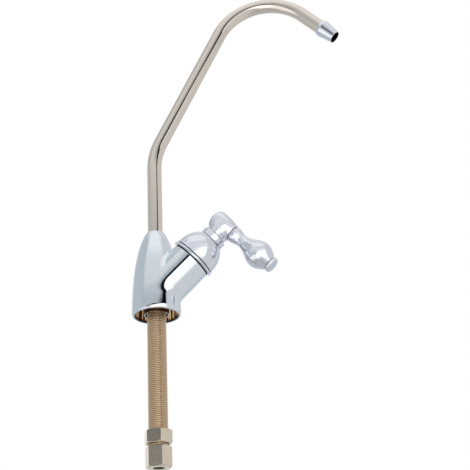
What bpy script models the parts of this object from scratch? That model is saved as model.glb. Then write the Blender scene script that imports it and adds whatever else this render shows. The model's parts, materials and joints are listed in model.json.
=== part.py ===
"""Reverse osmosis drinking-water faucet: cast body with a slanted valve barrel, a swan-neck
spout that turns on the body, a quarter-turn ceramic valve with a lever handle, and a threaded
shank with its mounting nut and tube compression nut. Metres, +Z up. The origin is the centre of
the base rim, on the axis that the shank and the spout's riser share; +X points to the outlet."""

import math

import bmesh
import bpy
from mathutils import Matrix, Vector

MM = 0.001
MERGE_DISTANCE = 0.002 * MM

# Clearances
SEAT_GAP = 0.3 * MM
RUNNING_GAP = 0.3 * MM
RING_GAP = 0.2 * MM
TUBE_GAP = 0.15 * MM
OVERCUT = 1.0 * MM
EDGE_CHAMFER = 0.3 * MM

# Facets round a full turn
BODY_STEPS = 48
HANDLE_STEPS = 36
SPOUT_STEPS = 20
INNER_STEPS = 24
RING_STEPS = 24
RING_SECTION_STEPS = 6
PIN_STEPS = 16
SHARP_ANGLE = math.radians(35)

# Body casting
BASE_RADIUS = 14.65 * MM
BASE_WALL = 1.95 * MM
BASE_HOLLOW_DEPTH = 9.5 * MM
BULLET_TIP_BEYOND = 4.3 * MM
BULLET_POWER = 2.2
BULLET_STEPS = 13
BASE_EDGE_ROUND = 0.4 * MM
BOSS_WALL = 1.4 * MM
BOSS_LIP_WALL = 0.6 * MM
BOSS_SETBACK = 0.4 * MM
BOSS_COUNTERSINK_DEPTH = 1.2 * MM

# Valve barrel of the casting
VALVE_ELEVATION = math.radians(43.5)
VALVE_CROSSING_HEIGHT = 12.6 * MM
MOUTH_INSET = 3.24 * MM
BARREL_RADIUS = 12.9 * MM
BARREL_ROOT = 1.5 * MM
BARREL_EDGE_ROUND = 0.35 * MM
MOUTH_THREAD_DEPTH = 7.7 * MM
CARTRIDGE_BORE_DEPTH = 17.7 * MM
PASSAGE_RADIUS = 2.5 * MM

# Shank and its nuts
SHANK_RADIUS = 5.55 * MM
SHANK_BORE_RADIUS = 3.0 * MM
SHANK_SOCKET_DEPTH = 11.5 * MM
SHANK_SEAL_THICKNESS = 1.2 * MM
SHANK_CONE_DEPTH = 1.2 * MM
MOUNTING_NUT_DROP = 67.9 * MM
MOUNTING_NUT_FLATS = 14.3 * MM
MOUNTING_NUT_THICKNESS = 7.9 * MM
MOUNTING_NUT_TURN = math.radians(-7.9)
NUT_SPACING = 1.2 * MM
COMPRESSION_NUT_FLATS = 13.3 * MM
COMPRESSION_NUT_LENGTH = 12.0 * MM
COMPRESSION_NUT_TURN = math.radians(-3.3)
COMPRESSION_NUT_FLOOR = 2.8 * MM
NUT_CHAMFER = math.radians(30)
TUBE_RADIUS = 3.175 * MM
SLEEVE_WALL = 1.5 * MM
SLEEVE_CONE = 0.8 * MM
SLEEVE_ROOM = 3.6 * MM

# Spout tube
SPOUT_RADIUS = 4.55 * MM
SPOUT_WALL = 0.9 * MM
SPOUT_LEAN = math.radians(27.8)
SPOUT_OUTLET_TURN = math.radians(108.9)
SPOUT_LEAN_HEIGHT = 107.9 * MM
SPOUT_LEAN_LENGTH = 144.9 * MM
SPOUT_OUTLET_LENGTH = 64.8 * MM
LEAN_BEND_RADIUS = 40.0 * MM
OUTLET_BEND_RADIUS = 34.5 * MM
BEND_STEP = math.radians(7)

# Outlet tip
TIP_LENGTH = 12.2 * MM
TIP_BELL_RADIUS = 5.65 * MM
TIP_BELL_AT = 1.9 * MM
TIP_END_RADIUS = 4.05 * MM
TIP_END_WALL = 0.4 * MM
TIP_END_ROUND = 0.2 * MM
TIP_BELL_ROUND = 0.8 * MM
TIP_SOCKET_DEPTH = 3.4 * MM

# Spout spigot that turns in the body
SOCKET_FLOOR_WALL = 7.03 * MM
SPIGOT_RADIUS = 4.5 * MM
SPIGOT_BORE_RADIUS = 2.1 * MM
SPIGOT_NECK_LENGTH = 5.0 * MM
TUBE_ABOVE_GUIDE_RING = 1.3 * MM
TUBE_SEAT_DEPTH = 6.2 * MM
O_RING_GROOVE_WIDTH = 1.8 * MM
O_RING_GROOVE_RADIUS = 3.2 * MM
LOWER_GROOVE_HEIGHT = 1.2 * MM
GROOVE_PITCH = 2.5 * MM
CLIP_THICKNESS = 0.8 * MM
CLIP_REACH = 0.5 * MM
CLIP_OPENING = math.radians(60)
GUIDE_RING_WIDTH = 1.4 * MM
GUIDE_RING_OPENING = math.radians(15)

# Bonnet
BONNET_RING_RADIUS = 14.4 * MM
BONNET_RING_THICKNESS = 2.1 * MM
BONNET_RING_ROUND = 0.7 * MM
DOME_RADIUS = 13.6 * MM
DOME_HEIGHT = 15.3 * MM
DOME_LIP_RADIUS = 14.0 * MM
DOME_LIP = 1.2 * MM
DOME_LIP_ROUND = 0.4 * MM
DOME_SHOULDER = 1.9 * MM
DOME_LENGTH = 14.1 * MM
DOME_TOP_WALL = 3.6 * MM
DOME_CAVITY_TAPER = 3.2 * MM
BONNET_THREAD_RADIUS = 11.1 * MM
BONNET_THREAD_WALL = 1.6 * MM
DOME_ARC_STEPS = 8

# Ceramic cartridge
CARTRIDGE_RADIUS = 9.1 * MM
CARTRIDGE_WALL = 2.1 * MM
CARTRIDGE_SHOULDER = 2.1 * MM
CARTRIDGE_NECK_RADIUS = 5.6 * MM
CARTRIDGE_NECK_LENGTH = 15.2 * MM
SEAT_SEAL_THICKNESS = 1.4 * MM
DISC_THICKNESS = 2.4 * MM
PORT_RADIUS = 1.6 * MM
PORT_OFFSET = 3.4 * MM
SLOT_WIDTH = 2.6 * MM
SLOT_DEPTH = 1.2 * MM
WINDOW_WIDTH = 5.0 * MM
CARTRIDGE_GROOVE_DEPTH = 1.0 * MM
CARTRIDGE_GROOVE_BELOW = 1.2 * MM

# Stem
STEM_RADIUS = 3.0 * MM
STEM_FLANGE_THICKNESS = 1.4 * MM
STEM_LENGTH = 42.0 * MM
TONGUE_SETBACK = 1.0 * MM
STEM_GROOVE_DEPTH = 0.9 * MM
STEM_GROOVE_WIDTH = 1.5 * MM
STEM_GROOVE_HEIGHT = 6.5 * MM

# Collar under the handle
COLLAR_RADIUS = 7.9 * MM
COLLAR_THICKNESS = 3.9 * MM
COLLAR_ROUND = 0.5 * MM
COLLAR_BACK_ROUND = 0.4 * MM

# Handle hub
LEVER_HEIGHT = 7.8 * MM
HUB_NECK_RADIUS = 6.4 * MM
HUB_SHOULDER_RADIUS = 6.9 * MM
HUB_SHOULDER_HEIGHT = 3.0 * MM
HUB_BARREL_RADIUS = 6.8 * MM
HUB_BACK_REACH = 9.3 * MM
HUB_BACK_ROUND = 4.3 * MM
HUB_BACK_POWER = 2.6
HUB_FACE_REACH = 7.0 * MM
HUB_FACE_RADIUS = 5.0 * MM
HUB_CONE_POWER = 2.2
HUB_ARC_STEPS = 6

# Lever
STUD_RADIUS = 2.0 * MM
STUD_IN_LEVER = 7.0 * MM
LEVER_RING_THICKNESS = 1.1 * MM
LEVER_RING_RADIUS = 4.7 * MM
LEVER_RING_ROUND = 0.45 * MM
LEVER_ROOT_RADIUS = 5.1 * MM
LEVER_WAIST_RADIUS = 3.9 * MM
LEVER_WAIST_AT = 5.9 * MM
LEVER_BULB_RADIUS = 8.5 * MM
LEVER_BULB_AT = 20.0 * MM
LEVER_END_RADIUS = 4.4 * MM
LEVER_LENGTH = 28.9 * MM
LEVER_SPAN_STEPS = 6
KNOB_RADIUS = 4.8 * MM
KNOB_THICKNESS = 2.1 * MM
KNOB_ROUND = 0.8 * MM
KNOB_BACK_ROUND = 0.4 * MM
KNOB_SPIGOT = 4.0 * MM

# Sizes that follow from those above
SHANK_HOLE_RADIUS = SHANK_RADIUS + SEAT_GAP
BOSS_RADIUS = SHANK_HOLE_RADIUS + BOSS_WALL
SHANK_TOP = SHANK_SOCKET_DEPTH - SHANK_SEAL_THICKNESS - 2 * SEAT_GAP
COMPRESSION_NUT_TOP = -MOUNTING_NUT_DROP - MOUNTING_NUT_THICKNESS - NUT_SPACING
COMPRESSION_NUT_BOTTOM = COMPRESSION_NUT_TOP - COMPRESSION_NUT_LENGTH
SHANK_BELOW_BASE = -COMPRESSION_NUT_BOTTOM - COMPRESSION_NUT_FLOOR - SLEEVE_ROOM
TUBE_HOLE_RADIUS = TUBE_RADIUS + TUBE_GAP
SOCKET_RADIUS = SPIGOT_RADIUS + RUNNING_GAP
CARTRIDGE_BORE_RADIUS = CARTRIDGE_RADIUS + SEAT_GAP
# The bonnet ring's nearest corner stays this far inside the base, clear of the bullet
MOUTH_CORNER_REACH = BASE_RADIUS - MOUTH_INSET + BONNET_RING_RADIUS * math.sin(VALVE_ELEVATION)
BARREL_LENGTH = MOUTH_CORNER_REACH / math.cos(VALVE_ELEVATION)
VALVE_BORE_TOP = (
    VALVE_CROSSING_HEIGHT
    + (BARREL_LENGTH - CARTRIDGE_BORE_DEPTH) * math.sin(VALVE_ELEVATION)
    + CARTRIDGE_BORE_RADIUS * math.cos(VALVE_ELEVATION)
)
SOCKET_FLOOR = VALVE_BORE_TOP + SOCKET_FLOOR_WALL
SPIGOT_BOTTOM = SOCKET_FLOOR + SEAT_GAP
LOWER_GROOVE = SPIGOT_BOTTOM + LOWER_GROOVE_HEIGHT
UPPER_GROOVE = LOWER_GROOVE + GROOVE_PITCH
SPOUT_CLIP_BOTTOM = UPPER_GROOVE + GROOVE_PITCH + SEAT_GAP
GUIDE_RING_BOTTOM = SPOUT_CLIP_BOTTOM + GROOVE_PITCH
TUBE_BOTTOM = GUIDE_RING_BOTTOM + GUIDE_RING_WIDTH + TUBE_ABOVE_GUIDE_RING
BODY_HEIGHT = TUBE_BOTTOM + TUBE_SEAT_DEPTH
BULLET_TIP_HEIGHT = BODY_HEIGHT + BULLET_TIP_BEYOND
SPOUT_BORE_RADIUS = SPOUT_RADIUS - SPOUT_WALL
MOUTH_THREAD_RADIUS = BONNET_THREAD_RADIUS + SEAT_GAP
STEM_BORE_RADIUS = STEM_RADIUS + RUNNING_GAP
CARTRIDGE_CHAMBER_RADIUS = CARTRIDGE_RADIUS - CARTRIDGE_WALL
DISC_RADIUS = CARTRIDGE_CHAMBER_RADIUS - RUNNING_GAP

# Heights along the valve axis, from the barrel's mouth
MOUTH_LEDGE = -MOUTH_THREAD_DEPTH
CARTRIDGE_SEAT = MOUTH_LEDGE - (CARTRIDGE_BORE_DEPTH - MOUTH_THREAD_DEPTH)
SEAL_BOTTOM = CARTRIDGE_SEAT + SEAT_GAP
FIXED_DISC_BOTTOM = SEAL_BOTTOM + SEAT_SEAL_THICKNESS + SEAT_GAP
MOVING_DISC_BOTTOM = FIXED_DISC_BOTTOM + DISC_THICKNESS + SEAT_GAP
STEM_BOTTOM = MOVING_DISC_BOTTOM + DISC_THICKNESS + SEAT_GAP
CHAMBER_CEILING = STEM_BOTTOM + STEM_FLANGE_THICKNESS + SEAT_GAP
SHOULDER_BOTTOM = MOUTH_LEDGE + SEAT_GAP
SHOULDER_TOP = SHOULDER_BOTTOM + CARTRIDGE_SHOULDER
CARTRIDGE_GROOVE_TOP = MOUTH_LEDGE - CARTRIDGE_GROOVE_BELOW + SEAT_GAP
CARTRIDGE_TOP = SHOULDER_TOP + CARTRIDGE_NECK_LENGTH
CLIP_BOTTOM = CARTRIDGE_TOP + SEAT_GAP
BONNET_RING_BOTTOM = SEAT_GAP
DOME_BOTTOM = BONNET_RING_BOTTOM + BONNET_RING_THICKNESS + SEAT_GAP
DOME_TOP = DOME_BOTTOM + DOME_LENGTH
COLLAR_BOTTOM = DOME_TOP + SEAT_GAP
COLLAR_TOP = COLLAR_BOTTOM + COLLAR_THICKNESS
HUB_BOTTOM = COLLAR_TOP + RUNNING_GAP
LEVER_AXIS = HUB_BOTTOM + LEVER_HEIGHT
STEM_TOP = STEM_BOTTOM + STEM_LENGTH
LEVER_RING_START = HUB_FACE_REACH + SEAT_GAP
LEVER_START = LEVER_RING_START + LEVER_RING_THICKNESS + SEAT_GAP
KNOB_START = LEVER_START + LEVER_LENGTH + SEAT_GAP


def frame_at(x, z, tilt):
    """A frame in the XZ plane, its local Z leaning from +Z towards +X by tilt."""
    return Matrix.Translation((x, 0, z)) @ Matrix.Rotation(tilt, 4, "Y")


BARREL_REACH = BARREL_LENGTH * math.cos(VALVE_ELEVATION)
BARREL_RISE = BARREL_LENGTH * math.sin(VALVE_ELEVATION)
BASE_FRAME = Matrix.Identity(4)
MOUTH_HEIGHT = VALVE_CROSSING_HEIGHT + BARREL_RISE
VALVE_FRAME = frame_at(BARREL_REACH, MOUTH_HEIGHT, math.pi / 2 - VALVE_ELEVATION)
LEVER_FRAME = VALVE_FRAME @ frame_at(0, LEVER_AXIS, math.pi / 2)


def clear_scene():
    """Remove whatever a new Blender file starts with."""
    for item in list(bpy.data.objects):
        bpy.data.objects.remove(item, do_unlink=True)


def new_collection(name):
    group = bpy.data.collections.new(name)
    bpy.context.scene.collection.children.link(group)
    return group


def new_material(name, colour, roughness, metallic):
    """A Principled material from an sRGB colour given as three shares of one."""
    made = bpy.data.materials.new(name)
    made.use_nodes = True
    shader = made.node_tree.nodes["Principled BSDF"]
    shader.inputs["Base Color"].default_value = (*[share ** 2.2 for share in colour], 1)
    shader.inputs["Roughness"].default_value = roughness
    shader.inputs["Metallic"].default_value = metallic
    return made


clear_scene()
PARTS = new_collection("reverse_osmosis_faucet")
CUTTERS = new_collection("cutters")


def add_object(name, mesh, frame=BASE_FRAME, group=PARTS):
    item = bpy.data.objects.new(name, mesh)
    item.matrix_world = frame
    group.objects.link(item)
    if group is CUTTERS:
        item.hide_render = True
        item.display_type = "WIRE"
    return item


def rounded(corners, steps=2):
    """Corners (radius, height[, fillet]) of an outline, each fillet drawn as an arc."""
    points = []
    count = len(corners)
    for place, corner in enumerate(corners):
        here = Vector(corner[:2])
        if len(corner) == 2:
            points.append(tuple(here))
            continue
        before = (Vector(corners[place - 1][:2]) - here).normalized()
        after = (Vector(corners[(place + 1) % count][:2]) - here).normalized()
        half_angle = before.angle(after) / 2
        middle = here + (before + after).normalized() * corner[2] / math.sin(half_angle)
        start = here + before * corner[2] / math.tan(half_angle) - middle
        end = here + after * corner[2] / math.tan(half_angle) - middle
        for step in range(steps + 1):
            spoke = start.slerp(end, step / steps).normalized() * corner[2]
            points.append(tuple(middle + spoke))
    return points


def turned(name, outline, frame=BASE_FRAME, steps=INNER_STEPS, group=PARTS, hollow=False):
    """Turn an outline of (radius, height) points, top to bottom down its outer side, round
    the frame's Z axis. A hollow outline is a closed loop; a solid one ends on the axis."""
    mesh = bpy.data.meshes.new(name)
    points = [(radius, 0, height) for radius, height in outline]
    edges = [(place, place + 1) for place in range(len(points) - 1)]
    if hollow:
        edges.append((len(points) - 1, 0))
    mesh.from_pydata(points, edges, [])
    item = add_object(name, mesh, frame, group)
    screw = item.modifiers.new("turn", "SCREW")
    screw.axis = "Z"
    screw.angle = 2 * math.pi
    screw.steps = steps
    screw.render_steps = steps
    screw.use_merge_vertices = True
    screw.merge_threshold = MERGE_DISTANCE
    return item


def cylinder_outline(radius, bottom, top):
    return [(0, top), (radius, top), (radius, bottom), (0, bottom)]


def ring_outline(inner, outer, bottom, top):
    return [(outer, top), (outer, bottom), (inner, bottom), (inner, top)]


def drill(name, radius, bottom, top, frame=BASE_FRAME, steps=INNER_STEPS):
    return turned(name, cylinder_outline(radius, bottom, top), frame, steps, CUTTERS)


def box(name, size, centre, frame=BASE_FRAME, group=CUTTERS):
    """A box of the given size, centred in the frame's own directions."""
    mesh = bpy.data.meshes.new(name)
    shape = bmesh.new()
    bmesh.ops.create_cube(shape, size=1)
    bmesh.ops.scale(shape, vec=size, verts=shape.verts)
    bmesh.ops.translate(shape, vec=centre, verts=shape.verts)
    shape.to_mesh(mesh)
    shape.free()
    return add_object(name, mesh, frame, group)


def combine(item, other, operation):
    """Boolean of two objects, EXACT."""
    step = item.modifiers.new(operation.lower() + "_" + other.name, "BOOLEAN")
    step.operation = operation
    step.solver = "EXACT"
    step.object = other


def bake(item):
    """Replace an object's mesh by its evaluated one, and forget its modifiers."""
    evaluated = item.evaluated_get(bpy.context.evaluated_depsgraph_get())
    mesh = bpy.data.meshes.new_from_object(evaluated)
    mesh.name = item.name
    shape = bmesh.new()
    shape.from_mesh(mesh)
    bmesh.ops.remove_doubles(shape, verts=shape.verts, dist=MERGE_DISTANCE)
    bmesh.ops.dissolve_degenerate(shape, edges=shape.edges, dist=MERGE_DISTANCE)
    shape.to_mesh(mesh)
    shape.free()
    item.modifiers.clear()
    item.data = mesh
    return item


def swept(name, route, radius, steps, group=PARTS):
    """A round bar along a route, as a closed mesh."""
    curve = bpy.data.curves.new(name, "CURVE")
    curve.dimensions = "3D"
    curve.bevel_depth = radius
    curve.bevel_resolution = steps // 2 - 2
    curve.use_fill_caps = True
    spline = curve.splines.new("POLY")
    spline.points.add(len(route) - 1)
    for point, place in zip(spline.points, route):
        point.co = (*place, 1)
    guide = bpy.data.objects.new(name + "_route", curve)
    group.objects.link(guide)
    bpy.context.view_layer.update()
    evaluated = guide.evaluated_get(bpy.context.evaluated_depsgraph_get())
    mesh = bpy.data.meshes.new_from_object(evaluated)
    shape = bmesh.new()
    shape.from_mesh(mesh)
    bmesh.ops.remove_doubles(shape, verts=shape.verts, dist=MERGE_DISTANCE)
    bmesh.ops.recalc_face_normals(shape, faces=shape.faces)
    shape.to_mesh(mesh)
    shape.free()
    item = add_object(name, mesh, guide.matrix_world, group)
    bpy.data.objects.remove(guide, do_unlink=True)
    return item


def bullet_radius(height):
    """Outer radius of the body's bullet shape at a height above the base."""
    share = (height / BULLET_TIP_HEIGHT) ** BULLET_POWER
    return BASE_RADIUS * math.sqrt(1 - share)


def bullet_outline():
    """Top to bottom; steps get shorter towards the top, where the bullet closes in."""
    outline = [(0, BODY_HEIGHT)]
    for place in range(BULLET_STEPS, 0, -1):
        height = BODY_HEIGHT * math.sin(math.pi / 2 * place / BULLET_STEPS)
        outline.append((bullet_radius(height), height))
    edge = rounded([(BASE_RADIUS, BASE_EDGE_ROUND * 2), (BASE_RADIUS, 0, BASE_EDGE_ROUND), (0, 0)])
    return outline + edge


def make_body():
    """Cast body: bullet, slanted barrel, hollow base with the shank boss, and every bore."""
    body = turned("body", bullet_outline(), steps=BODY_STEPS)
    barrel = turned("barrel", rounded([
        (0, 0),
        (BARREL_RADIUS, 0, BARREL_EDGE_ROUND),
        (BARREL_RADIUS, BARREL_ROOT - BARREL_LENGTH),
        (0, BARREL_ROOT - BARREL_LENGTH),
    ]), VALVE_FRAME, BODY_STEPS, CUTTERS)
    combine(body, barrel, "UNION")

    hollow = turned("base_hollow", ring_outline(
        BOSS_RADIUS, BASE_RADIUS - BASE_WALL, -BASE_HOLLOW_DEPTH, BASE_HOLLOW_DEPTH
    ), steps=BODY_STEPS, group=CUTTERS, hollow=True)
    boss_trim = turned("boss_trim", [
        (0, SHANK_SOCKET_DEPTH),
        (SHANK_HOLE_RADIUS, SHANK_SOCKET_DEPTH),
        (SHANK_HOLE_RADIUS, BOSS_SETBACK + BOSS_COUNTERSINK_DEPTH),
        (BOSS_RADIUS - BOSS_LIP_WALL, BOSS_SETBACK),
        (BOSS_RADIUS + SEAT_GAP, BOSS_SETBACK),
        (BOSS_RADIUS + SEAT_GAP, -BOSS_COUNTERSINK_DEPTH),
        (0, -BOSS_COUNTERSINK_DEPTH),
    ], group=CUTTERS)
    rising_inlet = drill("rising_inlet", PASSAGE_RADIUS, 0, VALVE_CROSSING_HEIGHT, steps=PIN_STEPS)
    slanted_inlet = drill(
        "slanted_inlet", PASSAGE_RADIUS, -BARREL_LENGTH, CARTRIDGE_SEAT + SEAT_GAP, VALVE_FRAME, PIN_STEPS
    )
    valve_bore = turned("valve_bore", [
        (0, BONNET_RING_THICKNESS),
        (MOUTH_THREAD_RADIUS, BONNET_RING_THICKNESS),
        (MOUTH_THREAD_RADIUS, MOUTH_LEDGE),
        (CARTRIDGE_BORE_RADIUS, MOUTH_LEDGE),
        (CARTRIDGE_BORE_RADIUS, CARTRIDGE_SEAT),
        (0, CARTRIDGE_SEAT),
    ], VALVE_FRAME, BODY_STEPS, CUTTERS)
    outlet_reach = (SOCKET_FLOOR - VALVE_CROSSING_HEIGHT) * math.cos(VALVE_ELEVATION)
    outlet_frame = frame_at(0, SOCKET_FLOOR, math.pi - VALVE_ELEVATION)
    outlet_end = outlet_reach - CARTRIDGE_BORE_RADIUS + PASSAGE_RADIUS
    outlet_passage = drill(
        "outlet_passage", PASSAGE_RADIUS, -PASSAGE_RADIUS / 2, outlet_end, outlet_frame, PIN_STEPS
    )
    # Turned by half a facet, so that no edge of the socket lies on an edge of the top face
    half_facet = Matrix.Rotation(math.pi / INNER_STEPS, 4, "Z")
    socket = turned("spout_socket", [
        (0, BODY_HEIGHT + SEAT_GAP),
        (SOCKET_RADIUS, BODY_HEIGHT + SEAT_GAP),
        (SOCKET_RADIUS, SPOUT_CLIP_BOTTOM + CLIP_THICKNESS + SEAT_GAP),
        (SOCKET_RADIUS + CLIP_REACH, SPOUT_CLIP_BOTTOM + CLIP_THICKNESS + SEAT_GAP),
        (SOCKET_RADIUS + CLIP_REACH, SPOUT_CLIP_BOTTOM - SEAT_GAP),
        (SOCKET_RADIUS, SPOUT_CLIP_BOTTOM - SEAT_GAP),
        (SOCKET_RADIUS, SOCKET_FLOOR),
        (0, SOCKET_FLOOR),
    ], half_facet, INNER_STEPS, CUTTERS)
    passages = [rising_inlet, slanted_inlet, outlet_passage]
    for cutter in [hollow, boss_trim, valve_bore, *passages, socket]:
        combine(body, cutter, "DIFFERENCE")
    return body


def hex_prism(name, flats, bottom, top, turn, group=PARTS):
    """A hexagonal bar with its ends chamfered round the corners."""
    corner_radius = flats / 2 / math.cos(math.pi / 6)
    mesh = bpy.data.meshes.new(name)
    shape = bmesh.new()
    bmesh.ops.create_cone(
        shape, cap_ends=True, segments=6, radius1=corner_radius, radius2=corner_radius, depth=top - bottom
    )
    bmesh.ops.rotate(shape, matrix=Matrix.Rotation(turn - math.pi / 6, 3, "Z"), verts=shape.verts)
    bmesh.ops.translate(shape, vec=(0, 0, (top + bottom) / 2), verts=shape.verts)
    shape.to_mesh(mesh)
    shape.free()
    item = add_object(name, mesh, group=group)
    face_radius = flats / 2 - EDGE_CHAMFER
    reach = corner_radius + EDGE_CHAMFER
    drop = (reach - face_radius) * math.tan(NUT_CHAMFER)
    chamfer = turned(name + "_chamfer", [
        (0, top),
        (face_radius, top),
        (reach, top - drop),
        (reach, bottom + drop),
        (face_radius, bottom),
        (0, bottom),
    ], steps=BODY_STEPS, group=CUTTERS)
    combine(item, chamfer, "INTERSECT")
    return item


def make_shank():
    """Threaded tube that hangs from the boss: a cone at its lower end seats the tube sleeve."""
    bottom = -SHANK_BELOW_BASE
    return turned("shank", [
        (SHANK_RADIUS - EDGE_CHAMFER, SHANK_TOP),
        (SHANK_RADIUS, SHANK_TOP - EDGE_CHAMFER),
        (SHANK_RADIUS, bottom + EDGE_CHAMFER),
        (SHANK_RADIUS - EDGE_CHAMFER, bottom),
        (SHANK_BORE_RADIUS + SHANK_CONE_DEPTH, bottom),
        (SHANK_BORE_RADIUS, bottom + SHANK_CONE_DEPTH),
        (SHANK_BORE_RADIUS, SHANK_TOP),
    ], hollow=True)


def make_shank_seal():
    bottom = SHANK_TOP + SEAT_GAP
    return turned("shank_seal", ring_outline(
        SHANK_BORE_RADIUS, SHANK_RADIUS, bottom, bottom + SHANK_SEAL_THICKNESS
    ), hollow=True)


def make_mounting_nut():
    top = -MOUNTING_NUT_DROP
    bottom = top - MOUNTING_NUT_THICKNESS
    nut = hex_prism("mounting_nut", MOUNTING_NUT_FLATS, bottom, top, MOUNTING_NUT_TURN)
    bore = drill("mounting_nut_bore", SHANK_HOLE_RADIUS, bottom - OVERCUT, top + OVERCUT)
    combine(nut, bore, "DIFFERENCE")
    return nut


def make_compression_nut():
    """Cap nut over the shank's end; the water tube comes up through its floor."""
    bottom = COMPRESSION_NUT_BOTTOM
    top = COMPRESSION_NUT_TOP
    floor = bottom + COMPRESSION_NUT_FLOOR
    nut = hex_prism("compression_nut", COMPRESSION_NUT_FLATS, bottom, top, COMPRESSION_NUT_TURN)
    bore = turned("compression_nut_bore", [
        (0, top + OVERCUT),
        (SHANK_HOLE_RADIUS, top + OVERCUT),
        (SHANK_HOLE_RADIUS, floor),
        (TUBE_HOLE_RADIUS, floor),
        (TUBE_HOLE_RADIUS, bottom - OVERCUT),
        (0, bottom - OVERCUT),
    ], group=CUTTERS)
    combine(nut, bore, "DIFFERENCE")
    return nut


def make_compression_sleeve():
    """Sleeve that the nut squeezes between its floor and the shank's cone, round the tube."""
    bottom = COMPRESSION_NUT_BOTTOM + COMPRESSION_NUT_FLOOR + SEAT_GAP
    top = -SHANK_BELOW_BASE - SEAT_GAP
    outer = TUBE_HOLE_RADIUS + SLEEVE_WALL
    return turned("compression_sleeve", [
        (outer - SLEEVE_CONE, top),
        (outer, top - SLEEVE_CONE),
        (outer, bottom + SLEEVE_CONE),
        (outer - SLEEVE_CONE, bottom),
        (TUBE_HOLE_RADIUS, bottom),
        (TUBE_HOLE_RADIUS, top),
    ], hollow=True)


def heading(tilt):
    return Vector((math.sin(tilt), 0, math.cos(tilt)))


def spout_corners():
    """Corners of the spout's centre line, before its two bends are rounded."""
    lean_corner = Vector((0, 0, SPOUT_LEAN_HEIGHT))
    outlet_corner = lean_corner + heading(SPOUT_LEAN) * SPOUT_LEAN_LENGTH
    tip_start = outlet_corner + heading(SPOUT_LEAN + SPOUT_OUTLET_TURN) * SPOUT_OUTLET_LENGTH
    return lean_corner, outlet_corner, tip_start


def bend(corner, tilt, turn, radius):
    """Points of an arc that turns a line from one tilt by turn, tangent to both at a corner."""
    start = corner - heading(tilt) * radius * math.tan(turn / 2)
    centre = start + heading(tilt + math.pi / 2) * radius
    count = math.ceil(turn / BEND_STEP)
    spokes = [heading(tilt + math.pi / 2 + turn * step / count) for step in range(count + 1)]
    return [centre - spoke * radius for spoke in spokes]


def spout_route(extra):
    """Centre line of the spout tube, its ends lengthened by extra."""
    lean_corner, outlet_corner, tip_start = spout_corners()
    outlet_tilt = SPOUT_LEAN + SPOUT_OUTLET_TURN
    route = [Vector((0, 0, TUBE_BOTTOM - extra))]
    route += bend(lean_corner, 0, SPOUT_LEAN, LEAN_BEND_RADIUS)
    route += bend(outlet_corner, SPOUT_LEAN, SPOUT_OUTLET_TURN, OUTLET_BEND_RADIUS)
    route.append(tip_start + heading(outlet_tilt) * (TIP_SOCKET_DEPTH - SEAT_GAP + extra))
    return route


def make_spout_tube():
    """Bent tube, open from its seat on the spigot to its end inside the outlet tip."""
    tube = swept("spout_tube", spout_route(0), SPOUT_RADIUS, SPOUT_STEPS)
    bore = swept("spout_bore", spout_route(OVERCUT), SPOUT_BORE_RADIUS, SPOUT_STEPS, CUTTERS)
    combine(tube, bore, "DIFFERENCE")
    return tube


def make_outlet_tip():
    """Ferrule on the tube's end: a short bell, then a long cone to the mouth."""
    tip_start = spout_corners()[2]
    socket = SPOUT_RADIUS + SEAT_GAP
    mouth = TIP_END_RADIUS - TIP_END_WALL
    return turned("outlet_tip", rounded([
        (TIP_END_RADIUS, TIP_LENGTH, TIP_END_ROUND),
        (TIP_BELL_RADIUS, TIP_BELL_AT, TIP_BELL_ROUND),
        (socket + TIP_END_WALL, 0),
        (socket, 0),
        (socket, TIP_SOCKET_DEPTH),
        (mouth, TIP_SOCKET_DEPTH),
        (mouth, TIP_LENGTH),
    ]), frame_at(tip_start.x, tip_start.z, SPOUT_LEAN + SPOUT_OUTLET_TURN), hollow=True)


def make_spout_spigot():
    """Brass insert brazed into the tube: two O-ring grooves, a clip groove and a guide groove."""
    shoulder = TUBE_BOTTOM - SEAT_GAP
    grooves = [
        (LOWER_GROOVE, LOWER_GROOVE + O_RING_GROOVE_WIDTH),
        (UPPER_GROOVE, UPPER_GROOVE + O_RING_GROOVE_WIDTH),
        (SPOUT_CLIP_BOTTOM - SEAT_GAP, SPOUT_CLIP_BOTTOM + CLIP_THICKNESS + SEAT_GAP),
        (GUIDE_RING_BOTTOM - SEAT_GAP, GUIDE_RING_BOTTOM + GUIDE_RING_WIDTH + SEAT_GAP),
    ]
    neck_radius = SPOUT_BORE_RADIUS - SEAT_GAP
    outline = [
        (neck_radius, shoulder + SPIGOT_NECK_LENGTH),
        (neck_radius, shoulder),
        (SPIGOT_RADIUS, shoulder),
    ]
    for bottom, top in reversed(grooves):
        outline += [
            (SPIGOT_RADIUS, top),
            (O_RING_GROOVE_RADIUS, top),
            (O_RING_GROOVE_RADIUS, bottom),
            (SPIGOT_RADIUS, bottom),
        ]
    outline += [
        (SPIGOT_RADIUS, SPIGOT_BOTTOM + EDGE_CHAMFER),
        (SPIGOT_RADIUS - EDGE_CHAMFER, SPIGOT_BOTTOM),
        (SPIGOT_BORE_RADIUS, SPIGOT_BOTTOM),
        (SPIGOT_BORE_RADIUS, shoulder + SPIGOT_NECK_LENGTH),
    ]
    return turned("spout_spigot", outline, hollow=True)


def o_ring(name, groove_radius, bore_radius, height, frame=BASE_FRAME):
    """An O-ring that fills the room between a groove's floor and the bore round it."""
    middle = (groove_radius + bore_radius) / 2
    thick = (bore_radius - groove_radius) / 2 - RING_GAP
    outline = []
    for step in range(RING_SECTION_STEPS):
        angle = 2 * math.pi * step / RING_SECTION_STEPS
        outline.append((middle + thick * math.cos(angle), height - thick * math.sin(angle)))
    return turned(name, outline, frame, RING_STEPS, hollow=True)


def make_spout_o_ring(name, groove):
    return o_ring(name, O_RING_GROOVE_RADIUS, SOCKET_RADIUS, groove + O_RING_GROOVE_WIDTH / 2)


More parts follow.
